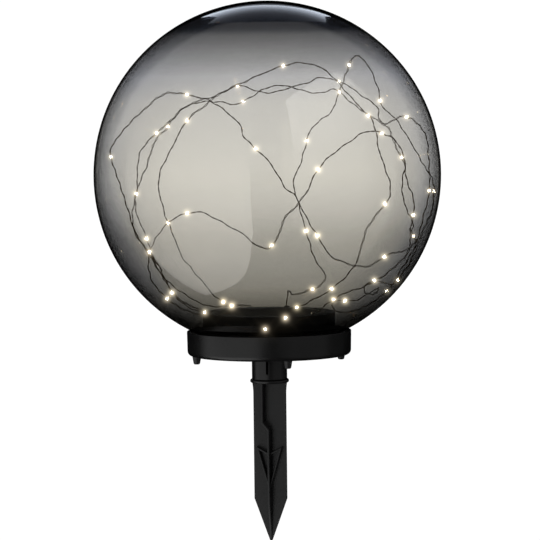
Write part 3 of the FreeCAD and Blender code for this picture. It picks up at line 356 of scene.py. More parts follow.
def shade_smooth(obj, angle):
    only(obj)
    bpy.ops.object.shade_smooth_by_angle(angle=math.radians(angle))


def smoothed(obj):
    """Shade smooth over slight edges, and let the large faces stay flat."""
    shade_smooth(obj, SHARP)
    add_modifier(obj, "WEIGHTED_NORMAL", keep_sharp=True)


def soften(obj, width, segments):
    """Round every sharp edge."""
    add_modifier(obj, "BEVEL", width=width, segments=segments, limit_method="ANGLE",
                 angle_limit=math.radians(SHARP), use_clamp_overlap=True)


def cut(obj, cutter, keep="DIFFERENCE"):
    add_modifier(obj, "BOOLEAN", object=cutter, operation=keep, solver="EXACT")
    bpy.data.objects.remove(cutter)


def drawn(name, points):
    """Edges from point to point: a plane merged to one vertex, then extruded."""
    only()
    bpy.ops.mesh.primitive_plane_add(size=GLOBE_WALL, location=points[0])
    obj = done(name_piece(name))
    edit(obj)
    bpy.ops.mesh.merge(type="CENTER")
    for start, end in zip(points, points[1:]):
        pushed(Vector(end) - Vector(start))
    weld()
    return obj


def turned(name, outline, steps=128):
    """Spin a (radius, height) outline round the upright axis; one that starts and
    ends on the axis is closed by it."""
    closed = outline + outline[:1] if outline[0][0] else outline
    obj = drawn(name, [(r, 0, z) for r, z in closed])
    bpy.ops.mesh.spin(steps=steps, angle=2 * math.pi, center=(0, 0, 0), axis=(0, 0, 1))
    weld()
    face_outwards()
    return done(obj)


def plate(name, outline, depth, start=None):
    """Extrude a closed (x, z) outline along Y by depth, from start."""
    y = -depth / 2 if start is None else start
    obj = drawn(name, [(x, y, z) for x, z in outline + outline[:1]])
    bpy.ops.mesh.edge_face_add()
    pushed((0, depth, 0))
    face_outwards()
    return done(obj)


def arc(middle, radius, start, end, steps):
    """Points of an arc about a middle, from one angle to another in degrees."""
    points = []
    for i in range(steps + 1):
        a = math.radians(start + (end - start) * i / steps)
        points.append((middle[0] + radius * math.cos(a), middle[1] + radius * math.sin(a)))
    return points


def grown(outline, distance):
    """A clockwise outline moved outwards by a distance, its corners kept sharp."""
    corners = []
    count = len(outline)
    for i in range(count):
        before, here, after = (Vector(outline[(i + k) % count]) for k in (-1, 0, 1))
        first, second = (here - before).normalized(), (after - here).normalized()
        out = Vector((-first.y, first.x)) + Vector((-second.y, second.x))
        corners.append(tuple(here + out * distance / (1 + first.dot(second))))
    return corners


def wear(obj, finish):
    obj.data.materials.clear()
    obj.data.materials.append(finish)


def place(obj, body, finish, slot, *nodes):
    wear(obj, finish)
    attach(obj, body)
    if nodes:
        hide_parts(*nodes)


# Finishes

def new_finish(name):
    """An empty node material and its tree."""
    finish = bpy.data.materials.new(name)
    finish.use_nodes = True
    finish.node_tree.nodes.clear()
    return finish, finish.node_tree


def feed(tree, target, value):
    """Link a socket to an input, or set the input's own value."""
    if isinstance(value, bpy.types.NodeSocket):
        tree.links.new(value, target)
    else:
        target.default_value = value


def node(tree, kind, *fed, give=0, **values):
    """Add a node and give one of its outputs. What is fed goes to its inputs in order.
    A named value is a setting or goes to an input, whose name has _ for a space."""
    made = tree.nodes.new(kind)
    for target, value in zip(made.inputs, fed):
        feed(tree, target, value)
    for key, value in values.items():
        title = key.replace("_", " ")
        if title in made.inputs:
            feed(tree, made.inputs[title], value)
        else:
            setattr(made, key, value)
    return made.outputs[give] if made.outputs else None


def coated(finish, surface):
    """Give a finish its surface."""
    node(finish.node_tree, "ShaderNodeOutputMaterial", Surface=surface)
    return finish


def principled(tree, **values):
    return node(tree, "ShaderNodeBsdfPrincipled", **values)


def mixed(tree, share, first, second):
    return node(tree, "ShaderNodeMixShader", share, first, second)


def blended(tree, share, first, second, how="MIX"):
    """Mix two colours."""
    return node(tree, "ShaderNodeMix", data_type="RGBA", blend_type=how, Factor=share,
                A=first, B=second, give="Result")


def multiplied(tree, first, second):
    return blended(tree, 1, first, second, "MULTIPLY")


def ramp(tree, source, *stops):
    made = tree.nodes.new("ShaderNodeValToRGB")
    while len(made.color_ramp.elements) < len(stops):
        made.color_ramp.elements.new(1)
    for element, (position, colour) in zip(made.color_ramp.elements, stops):
        element.position = position
        element.color = colour
    feed(tree, made.inputs["Fac"], source)
    return made.outputs["Color"]


def grey(value, warm=0):
    return (value * (1 + 0.6 * warm), value, value * (1 - 1.8 * warm), 1)


def tones(rows, times=1):
    """A ramp's stops from rows of (share, brightness, warmth)."""
    return [(share, grey(value * times, *warm)) for share, value, *warm in rows]


def place_on(tree, kind="Object"):
    return node(tree, "ShaderNodeTexCoord", give=kind)


def span(tree, axis, low, high, kind="Object"):
    """0 to 1 as one coordinate goes from low to high."""
    value = node(tree, "ShaderNodeSeparateXYZ", Vector=place_on(tree, kind), give=axis)
    return node(tree, "ShaderNodeMapRange", Value=value, From_Min=low, From_Max=high,
                give="Result")


def globe_height(tree):
    """0 at the globe's lowest point, 1 at its top."""
    return span(tree, "Z", CENTRE.z - GLOBE_RADIUS, CENTRE.z + GLOBE_RADIUS)


def facing_away(tree):
    """0 face on, 1 along the outline."""
    return node(tree, "ShaderNodeLayerWeight", Blend=0.5, give="Facing")


def grain(tree, scale):
    """Noise on the piece's own coordinates."""
    return node(tree, "ShaderNodeTexNoise", Vector=place_on(tree), Scale=scale, Detail=3,
                give="Fac")


def bump(tree, height, strength, distance):
    return node(tree, "ShaderNodeBump", Strength=strength, Distance=distance, Height=height,
                give="Normal")


def moulded(name, light, dark, roughness, texture=2600, strength=0.25, metal=0):
    """Moulded or plated surface: fine grain, slight cloudiness in colour and gloss."""
    finish, tree = new_finish(name)
    cloud = grain(tree, texture / CLOUD_TO_GRAIN)
    tint = ramp(tree, cloud, (0.3, dark), (0.7, light))
    gloss = ramp(tree, cloud, *tones(((0.3, roughness * 0.9), (0.7, min(roughness * 1.1, 1)))))
    fine = bump(tree, grain(tree, texture), strength, 0.0002)
    return coated(finish, principled(tree, Base_Color=tint, Metallic=metal, Roughness=gloss,
                                     Normal=fine))


def black_plastic(context):
    """The black plastic of base, cover and spike, made once."""
    made = bpy.data.materials.get("moulded_black")
    look = context.scene.globe_light.base
    return made or moulded("moulded_black", look.light, look.dark, 0.30)


def smoked_wall_with_painted_shade(look):
    """Thin smoky mirror coating: clear enough to see the string, darker at the top and
    bottom and on the lower sides with painted shade in place of a reflected dark ceiling
    and floor, and black along the outline, where the glass is seen edge on."""
    finish, tree = new_finish("smoked_globe_wall_painted_shade")
    facing, height = facing_away(tree), globe_height(tree)
    crown = ramp(tree, height, *tones(CROWN_TURN))
    rim = node(tree, "ShaderNodeMath", facing, crown, operation="ADD")
    away = node(tree, "ShaderNodeVectorMath", place_on(tree), CENTRE, operation="DISTANCE",
                give="Value")
    outside = node(tree, "ShaderNodeMath", away, GLOBE_RADIUS - GLOBE_WALL / 2,
                   operation="GREATER_THAN")
    # Smoke tint with painted shade by height, and painted shade on the lower sides towards the
    # outline
    smoke = ramp(tree, height, *tones(SMOKE_AND_PAINTED_SHADE), *CROWN_PAINTED_SHADE)
    painted_flank_shade = blended(tree, ramp(tree, height, *tones(FLANK_SHADE_SHARE)), grey(1),
                     ramp(tree, facing, *tones(FLANK_PAINTED_SHADE)))
    edge = blended(tree, outside, ramp(tree, facing, *tones(TOWARDS_EDGE + INNER_EDGE)),
                   ramp(tree, rim, *tones(TOWARDS_EDGE + OUTER_EDGE)))
    tint = multiplied(tree, multiplied(tree, smoke, painted_flank_shade), edge)
    through = node(tree, "ShaderNodeBsdfTransparent", Color=tint)
    mirror = principled(tree, Base_Color=(0.72, 0.70, 0.67, 1), Metallic=1,
                        Roughness=look.gloss)
    share = ramp(tree, rim, *tones(MIRROR, look.mirror))
    return coated(finish, mixed(tree, share, through, mirror))


def enamelled():
    """Dark enamel over copper, with a copper glint where the coat is thin."""
    finish, tree = new_finish("dark_enamel")
    tint = ramp(tree, grain(tree, 180), (0.25, (0.044, 0.027, 0.011, 1)),
                (0.6, (0.11, 0.068, 0.030, 1)), (0.8, (0.25, 0.145, 0.080, 1)))
    return coated(finish, principled(tree, Base_Color=tint, Metallic=0.6, Roughness=0.36))


def glowing(look):
    """Chip that glows warm white, stronger low down where the coating's painted shade is darkest.
    """
    finish, tree = new_finish("chip_glow")
    tint = ramp(tree, grain(tree, 900), (0.2, (1, 0.86, 0.62, 1)), (0.8, (1, 0.94, 0.80, 1)))
    light = multiplied(tree, tint, ramp(tree, globe_height(tree), *tones(CHIP_LIGHT)))
    return coated(finish, principled(tree, Base_Color=(1, 0.90, 0.68, 1), Roughness=0.4,
                                     Emission_Color=light, Emission_Strength=look.strength))


def resin_with_painted_glow(look):
    """Clear resin with a painted glow: emission standing in for the chip's light in the drop,
    faint towards the drop's outline.
    """
    finish, tree = new_finish("resin_drop_painted_glow")
    facing = facing_away(tree)
    tint = ramp(tree, facing, (0.0, (1, 0.88, 0.64, 1)), (0.7, (0.55, 0.36, 0.16, 1)))
    # Painted glow: emission on the clear resin, in place of the chip's scattered light
    glow = principled(tree, Base_Color=(1, 0.95, 0.84, 1), Roughness=0.12,
                      Emission_Color=tint, Emission_Strength=look.halo)
    share = ramp(tree, facing, *tones(((0.0, 0.55), (0.8, 0.18), (1.0, 0.10))))
    return coated(finish, mixed(tree, share, node(tree, "ShaderNodeBsdfTransparent"), glow))


def silicon():
    """Dark cell with fine silver fingers."""
    finish, tree = new_finish("silicon_cells")
    wave = node(tree, "ShaderNodeTexWave", Vector=place_on(tree), Scale=160,
                bands_direction="X", give="Fac")
    tint = ramp(tree, wave, (0.90, (0.008, 0.012, 0.035, 1)), (0.97, (0.30, 0.32, 0.36, 1)))
    return coated(finish, principled(tree, Base_Color=tint, Roughness=0.22, Coat_Weight=0.6))


def clear_disc():
    """Clear cover of the solar panel."""
    finish, tree = new_finish("clear_disc")
    fine = bump(tree, grain(tree, 900), 0.03, 0.0001)
    return coated(finish, principled(tree, Base_Color=(0.86, 0.88, 0.88, 1), Roughness=0.06,
                                     IOR=1.49, Transmission_Weight=0.9, Normal=fine))


# The light wire's route

def seen_on_wall(across, up, side, lay):
    """Point of the globe's wall on the line of sight through (across, up)."""
    a = math.radians(VIEW_ROLL)
    spot = Vector((across * math.cos(a) + up * math.sin(a), 0,
                   up * math.cos(a) - across * math.sin(a)))
    eye = Vector((0, -VIEW_DISTANCE, VIEW_RISE))
    look = spot - eye
    radius = GLOBE_RADIUS - GLOBE_WALL - lay
    aa, bb = look.dot(look), eye.dot(look)
    inside = max(bb * bb - aa * (eye.dot(eye) - radius ** 2), 0)
    return eye + look * ((-bb + side * math.sqrt(inside)) / aa)


def wire_points():
    """The route's points, and the number of each at which a light's run starts."""
    points, lights = [], []
    for side, lay, stretch in WIRE_ROUTE:
        for row in stretch:
            if side and row[2:]:
                lights.append(len(points))
            spot = seen_on_wall(*row[:2], side, lay) if side else Vector(row)
            points.append(spot + CENTRE)
    return points, lights


def route_curve(points):
    """The wire's own line: a smooth spline with the route's points as its control points."""
    data = bpy.data.curves.new("light_wire_line", "CURVE")
    data.dimensions = "3D"
    data.resolution_u = 10
    spline = data.splines.new("NURBS")
    spline.points.add(len(points) - 1)
    for control, spot in zip(spline.points, points):
        control.co = (*spot, 1)
    spline.order_u = 3
    spline.use_endpoint_u = True
    return linked("light_wire_line", data)


def line_points(obj):
    """Points along a curve that has no bevel."""
    bpy.context.view_layer.update()
    graph = bpy.context.evaluated_depsgraph_get()
    mesh = bpy.data.meshes.new_from_object(obj.evaluated_get(graph))
    points = [vertex.co.copy() for vertex in mesh.vertices]
    bpy.data.meshes.remove(mesh)
    return points


def zigzag(turns):
    """Straight runs up and down between -1 and 1, one each way per turn."""
    return 4 * abs(turns - math.floor(turns + 0.5)) - 1


# Sizes and looks that a user would change

def length_value(name, description, default, low=0, top=0.2):
    return bpy.props.FloatProperty(name=name, description=description, default=default,
                                   min=low, max=top, unit="LENGTH", precision=5)


def plain_value(name, description, default, top):
    return bpy.props.FloatProperty(name=name, description=description, default=default,
                                   min=0, max=top)


def angle_value(name, description, degrees):
    return bpy.props.FloatProperty(name=name, description=description,
                                   default=math.radians(degrees), subtype="ANGLE")


def tone_value(name, description, default):
    return bpy.props.FloatVectorProperty(name=name, description=description, default=default,
                                         size=4, min=0, max=1, subtype="COLOR")


class GlobeLook(bpy.types.PropertyGroup):
    mirror: plain_value("Mirror", "Share of light that the coating throws back face on", 0.08, 1)
    gloss: plain_value("Roughness", "Roughness of the mirror coating", 0.05, 1)
    segments: bpy.props.IntProperty(
        name="Segments", description="Segments round the globe", default=160, min=32, max=256)


class StringLook(bpy.types.PropertyGroup):
    wire: length_value("Wire", "Width across the twin wire", 0.0012, 0.0004, 0.003)
    pitch: length_value("Pitch", "Length of one full twist of the pair", 0.013, 0.004)
    loose: plain_value("Looseness", "How far the strands part where they part", 1.1, 3)
    wave: length_value("Wave", "Length from one loose place to the next", 0.26, 0.05, 2)
    kink: length_value("Kinks", "How far the wire strays at its small bends", 0.0005, 0, 0.002)
    bead: length_value("Bead", "Length of the clear bead round each light", 0.0046, 0.001, 0.01)
    bead_width: length_value("Bead Width", "Width of the clear bead", 0.0024, 0.001, 0.01)
    strength: plain_value("Strength", "Brightness of the lowest chips", 350, 2000)
    # The resin's brightness is a painted glow on the clear drop
    halo: plain_value("Halo", "Brightness of the resin round each chip", 0.8, 50)


class BaseLook(bpy.types.PropertyGroup):
    draft: length_value("Draft", "How much narrower the wall is at its foot", 0.00035, 0, 0.003)
    wall: length_value("Wall", "Thickness of the outer wall", 0.00275, 0.001, 0.006)
    rim: length_value("Rim", "Height of the rim over the globe's seat", 0.0022, 0.001, 0.006)
    turret: length_value("Turret", "Radius of the turret inside the globe", 0.0575, 0.03, 0.07)
    edge: length_value("Edge", "Rounding of the rim's edges", 0.0005, 0, 0.003)
    light: tone_value("Light Tone", "Lighter tone of the black plastic",
                      (0.0045, 0.0045, 0.0046, 1))
    dark: tone_value("Dark Tone", "Darker tone of the black plastic",
                     (0.0022, 0.0022, 0.0023, 1))


class SpikeSizes(bpy.types.PropertyGroup):
    half_width: length_value("Half Width", "Half the width of the blade", 0.0144)
    head_half_width: length_value("Head", "Half the width of the blade's head", 0.0152)
    head_depth: length_value("Head Depth", "Length over which the head narrows", 0.0080)
    thickness: length_value("Thickness", "Thickness of the blade and its fins", 0.0019)
    blade: length_value("Blade", "Length of the blade above its point", 0.1012)
    point: length_value("Point", "Half the width of the point's end", 0.00095)
    fin: length_value("Fin Depth", "How far the fins stand out", 0.0128)
    jog: length_value("Jog", "Sideways step of the fins under the collar", 0.0054)
    jog_start: length_value("Jog Start", "Depth at which the step starts", 0.0337)
    jog_end: length_value("Jog End", "Depth at which the step ends", 0.0406)
    barb: length_value("Barb", "Half the width of the barb", 0.0101)
    barb_tip: length_value("Barb Tips", "Depth of the barb's two tips", 0.0568)
    barb_root: length_value("Barb Root", "Depth of the notch between its tips", 0.0622)
    barb_apex: length_value("Barb Apex", "Depth of the barb's lower end", 0.0922)
    barb_stand: length_value("Barb Stand", "How far the barb stands out", 0.0078)
    barb_wall: length_value("Barb Wall", "Thickness of the barb's walls", 0.0014)
    collar: length_value("Collar", "Radius of the collar", 0.0169)
    collar_height: length_value("Collar Height", "Height of the collar", 0.0035)
    tube: length_value("Tube", "Outer radius of the slotted tube", 0.0153)
    tube_wall: length_value("Tube Wall", "Wall of the slotted tube", 0.0020)
    slot: length_value("Slot", "Width of the tube's slots", 0.0020)
    slot_foot: length_value("Slot Foot", "Height of the slots' lower end over the collar", 0.0046)
    edge: length_value("Edge", "Rounding of the moulded edges", 0.00035, 0, 0.002)
    turn: angle_value("Turn", "Turn of the spike about its axis", -8)


class FootSizes(bpy.types.PropertyGroup):
    circle: length_value("Circle", "Radius of the circle on which the feet stand", 0.0645)
    top: length_value("Top", "Radius of a foot at the cover", 0.0038)
    sole: length_value("Sole", "Radius of a foot at its sole", 0.0029)
    edge: length_value("Edge", "Rounding of the sole's edge", 0.0014, 0, 0.003)
    start: angle_value("Start", "Direction of the first foot", -76)


class StageLook(bpy.types.PropertyGroup):
    white: plain_value("White", "Brightness of the backdrop", 1.05, 4)
    # The floor's grey front is painted shade, standing in for the studio light's falloff
    front: plain_value("Front", "Brightness of the floor in front", 0.42, 4)


def group_of(kind, name, description):
    return bpy.props.PointerProperty(type=kind, name=name, description=description)


class GlobeLightSettings(bpy.types.PropertyGroup):
    globe: group_of(GlobeLook, "Globe", "Smoky globe")
    string: group_of(StringLook, "String", "String of lights")
    base: group_of(BaseLook, "Base", "Round base")
    spike: group_of(SpikeSizes, "Spike", "Ground spike")
    feet: group_of(FootSizes, "Feet", "Rubber feet")
    stage: group_of(StageLook, "Stage", "Floor and light")


# Pieces

class GLOBELIGHT_OT_camera(bpy.types.Operator):
    """Set up the camera where the photograph was taken"""
    bl_idname = "globelight.camera"
    bl_label = "Camera"

    def execute(self, context):
        eye = CENTRE + Vector((0, -VIEW_DISTANCE, VIEW_RISE))
        towards = CENTRE + Vector(FRAME_MIDDLE) - eye
        bpy.ops.object.camera_add(location=eye)
        camera = context.object
        camera.name = "photo_camera"
        camera.data.sensor_width = SENSOR_WIDTH
        camera.data.lens = SENSOR_WIDTH * towards.length / FRAME_WIDTH
        camera.data.clip_start, camera.data.clip_end = CLIP_START, CLIP_END
        camera.rotation_mode = "QUATERNION"
        roll = Quaternion((0, 0, 1), math.radians(-VIEW_ROLL))
        camera.rotation_quaternion = towards.to_track_quat("-Z", "Y") @ roll
        context.scene.camera = camera
        return {"FINISHED"}


class GLOBELIGHT_OT_wire(bpy.types.Operator):
    """Twist two enamelled strands along the route on the globe's inner wall"""
    bl_idname = "globelight.wire"
    bl_label = "Light Wire"

    def execute(self, context):
        look = context.scene.globe_light.string
        line = route_curve(wire_points()[0])
        path = line_points(line)
        bpy.data.objects.remove(line)
        wire = joined("twin_wire", [self.strand(look, path, phase) for phase in (0, math.pi)])
        bpy.ops.object.shade_smooth()
        place(wire, "lamp", enamelled(), "enamelled_copper", "light_wire")
        return {"FINISHED"}

    def strand(self, look, path, phase):
        """One strand: a helix round the wire's own line, looser here and there."""
        data = bpy.data.curves.new("strand", "CURVE")
        data.dimensions = "3D"
        data.bevel_depth = look.wire / 4
        data.bevel_resolution = 1
        data.use_fill_caps = True
        spline = data.splines.new("POLY")
        spline.points.add(len(path) - 2)
        aside, along = Vector((0, 0, 1)), 0
        for control, here, ahead in zip(spline.points, path, path[1:]):
            run = ahead - here
            heading = run.normalized()
            aside = (aside - heading * aside.dot(heading)).normalized()
            turn = Quaternion(heading, 2 * math.pi * along / look.pitch + phase)
            loose = max(0, math.sin(2 * math.pi * along / look.wave)) ** 3
            reach = look.wire / 4 * (1 + look.loose * loose)
            stray = (aside * zigzag(along / KINK_ASIDE)
                     + heading.cross(aside) * zigzag(along / KINK_OUT))
            control.co = (*(here + turn @ aside * reach + stray * look.kink), 1)
            along += run.length
        strand = linked("strand", data)
        only(strand)
        bpy.ops.object.convert(target="MESH")
        edit(strand)
        weld()
        return done(strand)


class GLOBELIGHT_OT_lights(bpy.types.Operator):
    """Set a glowing chip in a clear drop on the wire at each light"""
    bl_idname = "globelight.lights"
    bl_label = "Lights"

    def execute(self, context):
        look = context.scene.globe_light.string
        points, lights = wire_points()
        runs = [(points[first], points[first + 1]) for first in lights]
        chips = self.along(self.chip(look), runs, "light_chips")
        place(chips, "lamp", glowing(look), "led_resin")
        chips.visible_glossy = False
        beads = self.along(self.drop(look), runs, "light_beads")
        place(beads, "lamp", resin_with_painted_glow(look), "led_resin", "led_drops")
        return {"FINISHED"}

    def drop(self, look):
        """Drop of resin, drawn out to a short point at both ends."""
        only()
        bpy.ops.mesh.primitive_uv_sphere_add(segments=14, ring_count=12,
                                             radius=look.bead_width / 2)
        drop = name_piece("light_bead")
        edit(drop)
        bpy.ops.transform.resize(value=(1, 1, look.bead / look.bead_width))
        for height, share in NARROWING:
            edit_chosen(drop, lambda co: abs(co.z) > height * look.bead)
            bpy.ops.transform.resize(value=(share, share, 1), center_override=(0, 0, 0))
        leave_edit()
        bpy.ops.object.shade_smooth()
        return drop

    def chip(self, look):
        """Small chip: a block with a second, larger skin fattened out of its faces."""
        only()
        bpy.ops.mesh.primitive_cube_add(size=look.bead_width * CHIP_SIDE)
        chip = name_piece("light_chip")
        edit(chip)
        bpy.ops.mesh.extrude_region_shrink_fatten(
            TRANSFORM_OT_shrink_fatten={"value": look.bead_width * CHIP_SKIN})
        leave_edit()
        return chip

    def along(self, piece, runs, name):
        """Copies of a piece at the middle of each run, turned along it."""
        copies = copies_of(piece, len(runs))
        for copy, (start, end) in zip(copies, runs):
            copy.rotation_mode = "QUATERNION"
            copy.rotation_quaternion = (end - start).to_track_quat("Z", "Y")
            copy.location = (start + end) / 2
        return joined(name, copies)


class GLOBELIGHT_OT_globe(bpy.types.Operator):
    """Blow the smoky globe: a sphere opened below, with a wall"""
    bl_idname = "globelight.globe"
    bl_label = "Globe"

    def execute(self, context):
        look = context.scene.globe_light.globe
        only()
        bpy.ops.mesh.primitive_uv_sphere_add(segments=look.segments,
                                             ring_count=look.segments // 2,
                                             radius=GLOBE_RADIUS, location=CENTRE)
        globe = done(name_piece("smoked_globe"))
        edit(globe)
        bpy.ops.mesh.bisect(plane_co=(0, 0, GLOBE_LOW[2]), plane_no=(0, 0, 1),
                            clear_inner=True)
        face_outwards()
        done(globe)
        add_modifier(globe, "SOLIDIFY", thickness=GLOBE_WALL, offset=-1,
                     use_even_offset=True)
        shade_smooth(globe, 40)
        place(globe, "lamp", smoked_wall_with_painted_shade(look), "smoked_globe", "globe")
        return {"FINISHED"}


class GLOBELIGHT_OT_spike(bpy.types.Operator):
    """Mould the cross-bladed spike with its barb, collar and slotted tube"""
    bl_idname = "globelight.spike"
    bl_label = "Spike"

    def execute(self, context):
        look = context.scene.globe_light.spike
        body, *pieces = (self.plug(look), self.blade(look), self.fin(look, 1),
                         self.fin(look, -1), self.barb(look))
        for piece in (body, *pieces):
            soften(piece, look.edge, 2)
        for piece in pieces:
            cut(body, piece, "UNION")
        edit(body)
        weld(2 * WELD)
        bpy.ops.mesh.dissolve_degenerate(threshold=2 * WELD)
        leave_edit()
        body.name = body.data.name = "spike_moulded"
        body.rotation_euler.z = look.turn
        smoothed(done(body))
        place(body, "spike", black_plastic(context), "black_plastic", "spike")
        return {"FINISHED"}

    def blade(self, look):
        """Wide head under the collar, parallel sides, then the point."""
        waist = (look.head_half_width - look.half_width) * HEAD_TAPER + look.half_width
        right = [(look.head_half_width, look.collar_height / 2), (look.head_half_width, 0),
                 (waist, -look.head_depth / 2),
                 (look.half_width, -look.head_depth), (look.half_width, -look.blade),
                 (look.point, SPIKE_LOW[2])]
        left = [(-x, z) for x, z in reversed(right)]
        return plate("blade", right + left, look.thickness)

    def fin(self, look, side):
        """Fin that stands on the front (1) or back (-1) of the blade and jogs to its
        middle. The two differ a little in root, top and tip, so that no faces of
        theirs lie in one plane where they are united."""
        half, tip = look.thickness / 2, SPIKE_LOW[2] + (3.5 + side) * look.edge
        root = (1 + side / 4) * look.edge
        top = (look.collar_height + side * look.edge) / 2
        path = [(look.jog, top), (look.jog, -look.jog_start), (0, -look.jog_end), (0, tip)]
        ring = [(-side * (x - half), z) for x, z in path]
        ring += [(-side * (x + half), z) for x, z in reversed(path)]
        fin = plate("fin", ring, look.fin + root, -look.fin if side > 0 else -root)
        slope = [(2 * root, look.collar_height), (-look.fin, look.collar_height),
                 (-look.fin, -look.blade), (-look.point, tip - look.edge),
                 (2 * root, tip - look.edge)]
        keep = plate("keep", slope, 4 * look.half_width)
        keep.rotation_euler.z = side * math.pi / 2
        cut(fin, done(keep), "INTERSECT")
        return fin

    def barb(self, look):
        """Hollow arrowhead of thin walls that stands on both faces."""
        head = [(-look.barb, -look.barb_tip), (0, -look.barb_root),
                (look.barb, -look.barb_tip), (0, -look.barb_apex)]
        ring = plate("barb", grown(head, look.barb_wall / 2), 2 * look.barb_stand)
        cut(ring, plate("hollow", grown(head, -look.barb_wall / 2), 3 * look.barb_stand))
        return ring

    def plug(self, look):
        """Bead-edged collar and the slotted tube that springs into the socket."""
        bead = look.collar_height / 2
        bore = look.tube - look.tube_wall
        lead = look.edge * 2
        outline = [(0, 0)] + arc((look.collar - bead, bead), bead, -90, 90, 8)
        outline += [(look.tube, look.collar_height), (look.tube, SPIKE_HIGH[2] - lead),
                    (look.tube - lead, SPIKE_HIGH[2]), (bore, SPIKE_HIGH[2]),
                    (bore, look.collar_height), (0, look.collar_height)]
        tube = turned("plug", outline)
        foot = look.collar_height + look.slot_foot + look.slot / 2
        top = SPIKE_HIGH[2] + look.slot
        slot = arc((0, foot), look.slot / 2, 180, 360, 8)
        slot += [(look.slot / 2, top), (-look.slot / 2, top)]
        cut(tube, plate("slot", slot, 3 * look.collar))
        return tube


class GLOBELIGHT_OT_base(bpy.types.Operator):
    """Turn the base's outer wall, the globe's seat and the turret"""
    bl_idname = "globelight.base"
    bl_label = "Base"

    def execute(self, context):
        look = context.scene.globe_light.base
        rim_radius, top = HOUSING_HIGH[0], HOUSING_HIGH[2]
        seat, foot, shelf = GLOBE_SEAT, HOUSING_LOW[2], PANEL_FLOOR
        inner = rim_radius - look.wall
        room = PANEL_RADIUS + look.edge / 2
        under = shelf - look.rim
        wall = look.turret - look.rim
        outline = [(0, shelf), (room, shelf), (room, top), (look.turret, top),
                   (look.turret, seat), (inner, seat), (inner, seat + look.rim),
                   (rim_radius, seat + look.rim), (rim_radius - look.draft, foot),
                   (inner, foot), (inner, seat - look.rim), (wall, seat - look.rim),
                   (wall, under), (0, under)]
        body = turned("base_moulded", outline, 192)
        soften(body, look.edge, 3)
        smoothed(body)
        place(body, "lamp", black_plastic(context), "black_plastic", "base_housing")
        return {"FINISHED"}


class GLOBELIGHT_OT_feet(bpy.types.Operator):
    """Mould one rubber foot and set its copies under the cover"""
    bl_idname = "globelight.feet"
    bl_label = "Feet"

    def execute(self, context):
        look = context.scene.globe_light.feet
        sole = FEET_LOW[2]
        outline = [(0, sole)]
        outline += arc((look.sole - look.edge, sole + look.edge), look.edge, -90, -5, 5)
        outline += [(look.top, COVER_FOOT), (look.sole / 2, COVER_FOOT),
                    (look.sole / 2, FEET_HIGH[2]), (0, FEET_HIGH[2])]
        foot = turned("foot", outline, 40)
        smoothed(foot)
        copies = copies_of(foot, 4)
        for i, copy in enumerate(copies):
            a = look.start + i * math.pi / 2
            copy.location = (look.circle * math.cos(a), look.circle * math.sin(a), 0)
        rubber = moulded("foot_rubber", grey(0.006), grey(0.003), 0.40, strength=0.1)
        place(joined("rubber_feet", copies), "lamp", rubber, "seal_rubber", "feet")
        return {"FINISHED"}


class GLOBELIGHT_OT_parts(bpy.types.Operator):
    """Smooth the cover and finish every other piece of the lamp"""
    bl_idname = "globelight.parts"
    bl_label = "Moulded Parts"

    def execute(self, context):
        black = black_plastic(context)
        for finish, *parts in (
                (black, "battery_door", "switch_knob"),
                (moulded("rubber_seal", grey(0.030), grey(0.018), 0.8, strength=0.15),
                 "cover_seal", "globe_seal", "door_seal", "wire_grommet"),
                (moulded("zinc_steel", grey(0.60), grey(0.42), 0.35, 4000, 0.1, 1),
                 "cover_screws", "door_screws", "board_screws"),
                (moulded("nickel_plate", grey(0.72, 0.02), grey(0.58, 0.02), 0.28, 4000, 0.08, 1),
                 "contact_plus", "contact_minus"),
                (moulded("green_board", (0.03, 0.16, 0.07, 1), (0.02, 0.11, 0.05, 1), 0.4),
                 "circuit_board"),
                (moulded("cell_sleeve", (0.12, 0.22, 0.14, 1), (0.09, 0.18, 0.11, 1), 0.32),
                 "battery_cell"),
                (moulded("red_sleeve", (0.30, 0.02, 0.015, 1), (0.22, 0.015, 0.01, 1), 0.4),
                 "panel_leads"),
                (moulded("black_sleeve", grey(0.03), grey(0.018), 0.4),
                 "switch_body", "board_parts", "battery_leads"),
                (moulded("dark_board", grey(0.05), grey(0.035), 0.6), "panel_backing"),
                (silicon(), "solar_cells"),
                (clear_disc(), "panel_cover")):
            for part in parts:
                wear(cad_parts[part], finish)
        place(self.cover(), "lamp", black, "black_plastic", "bottom_cover")
        return {"FINISHED"}

    def cover(self):
        """A smooth copy of the cover's mesh, its loose triangles merged."""
        cover = linked("cover_moulded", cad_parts["bottom_cover"].data.copy())
        cover.data.name = cover.name
        edit(cover)
        weld()
        bpy.ops.mesh.tris_convert_to_quads()
        leave_edit()
        shade_smooth(cover, 30)
        return cover


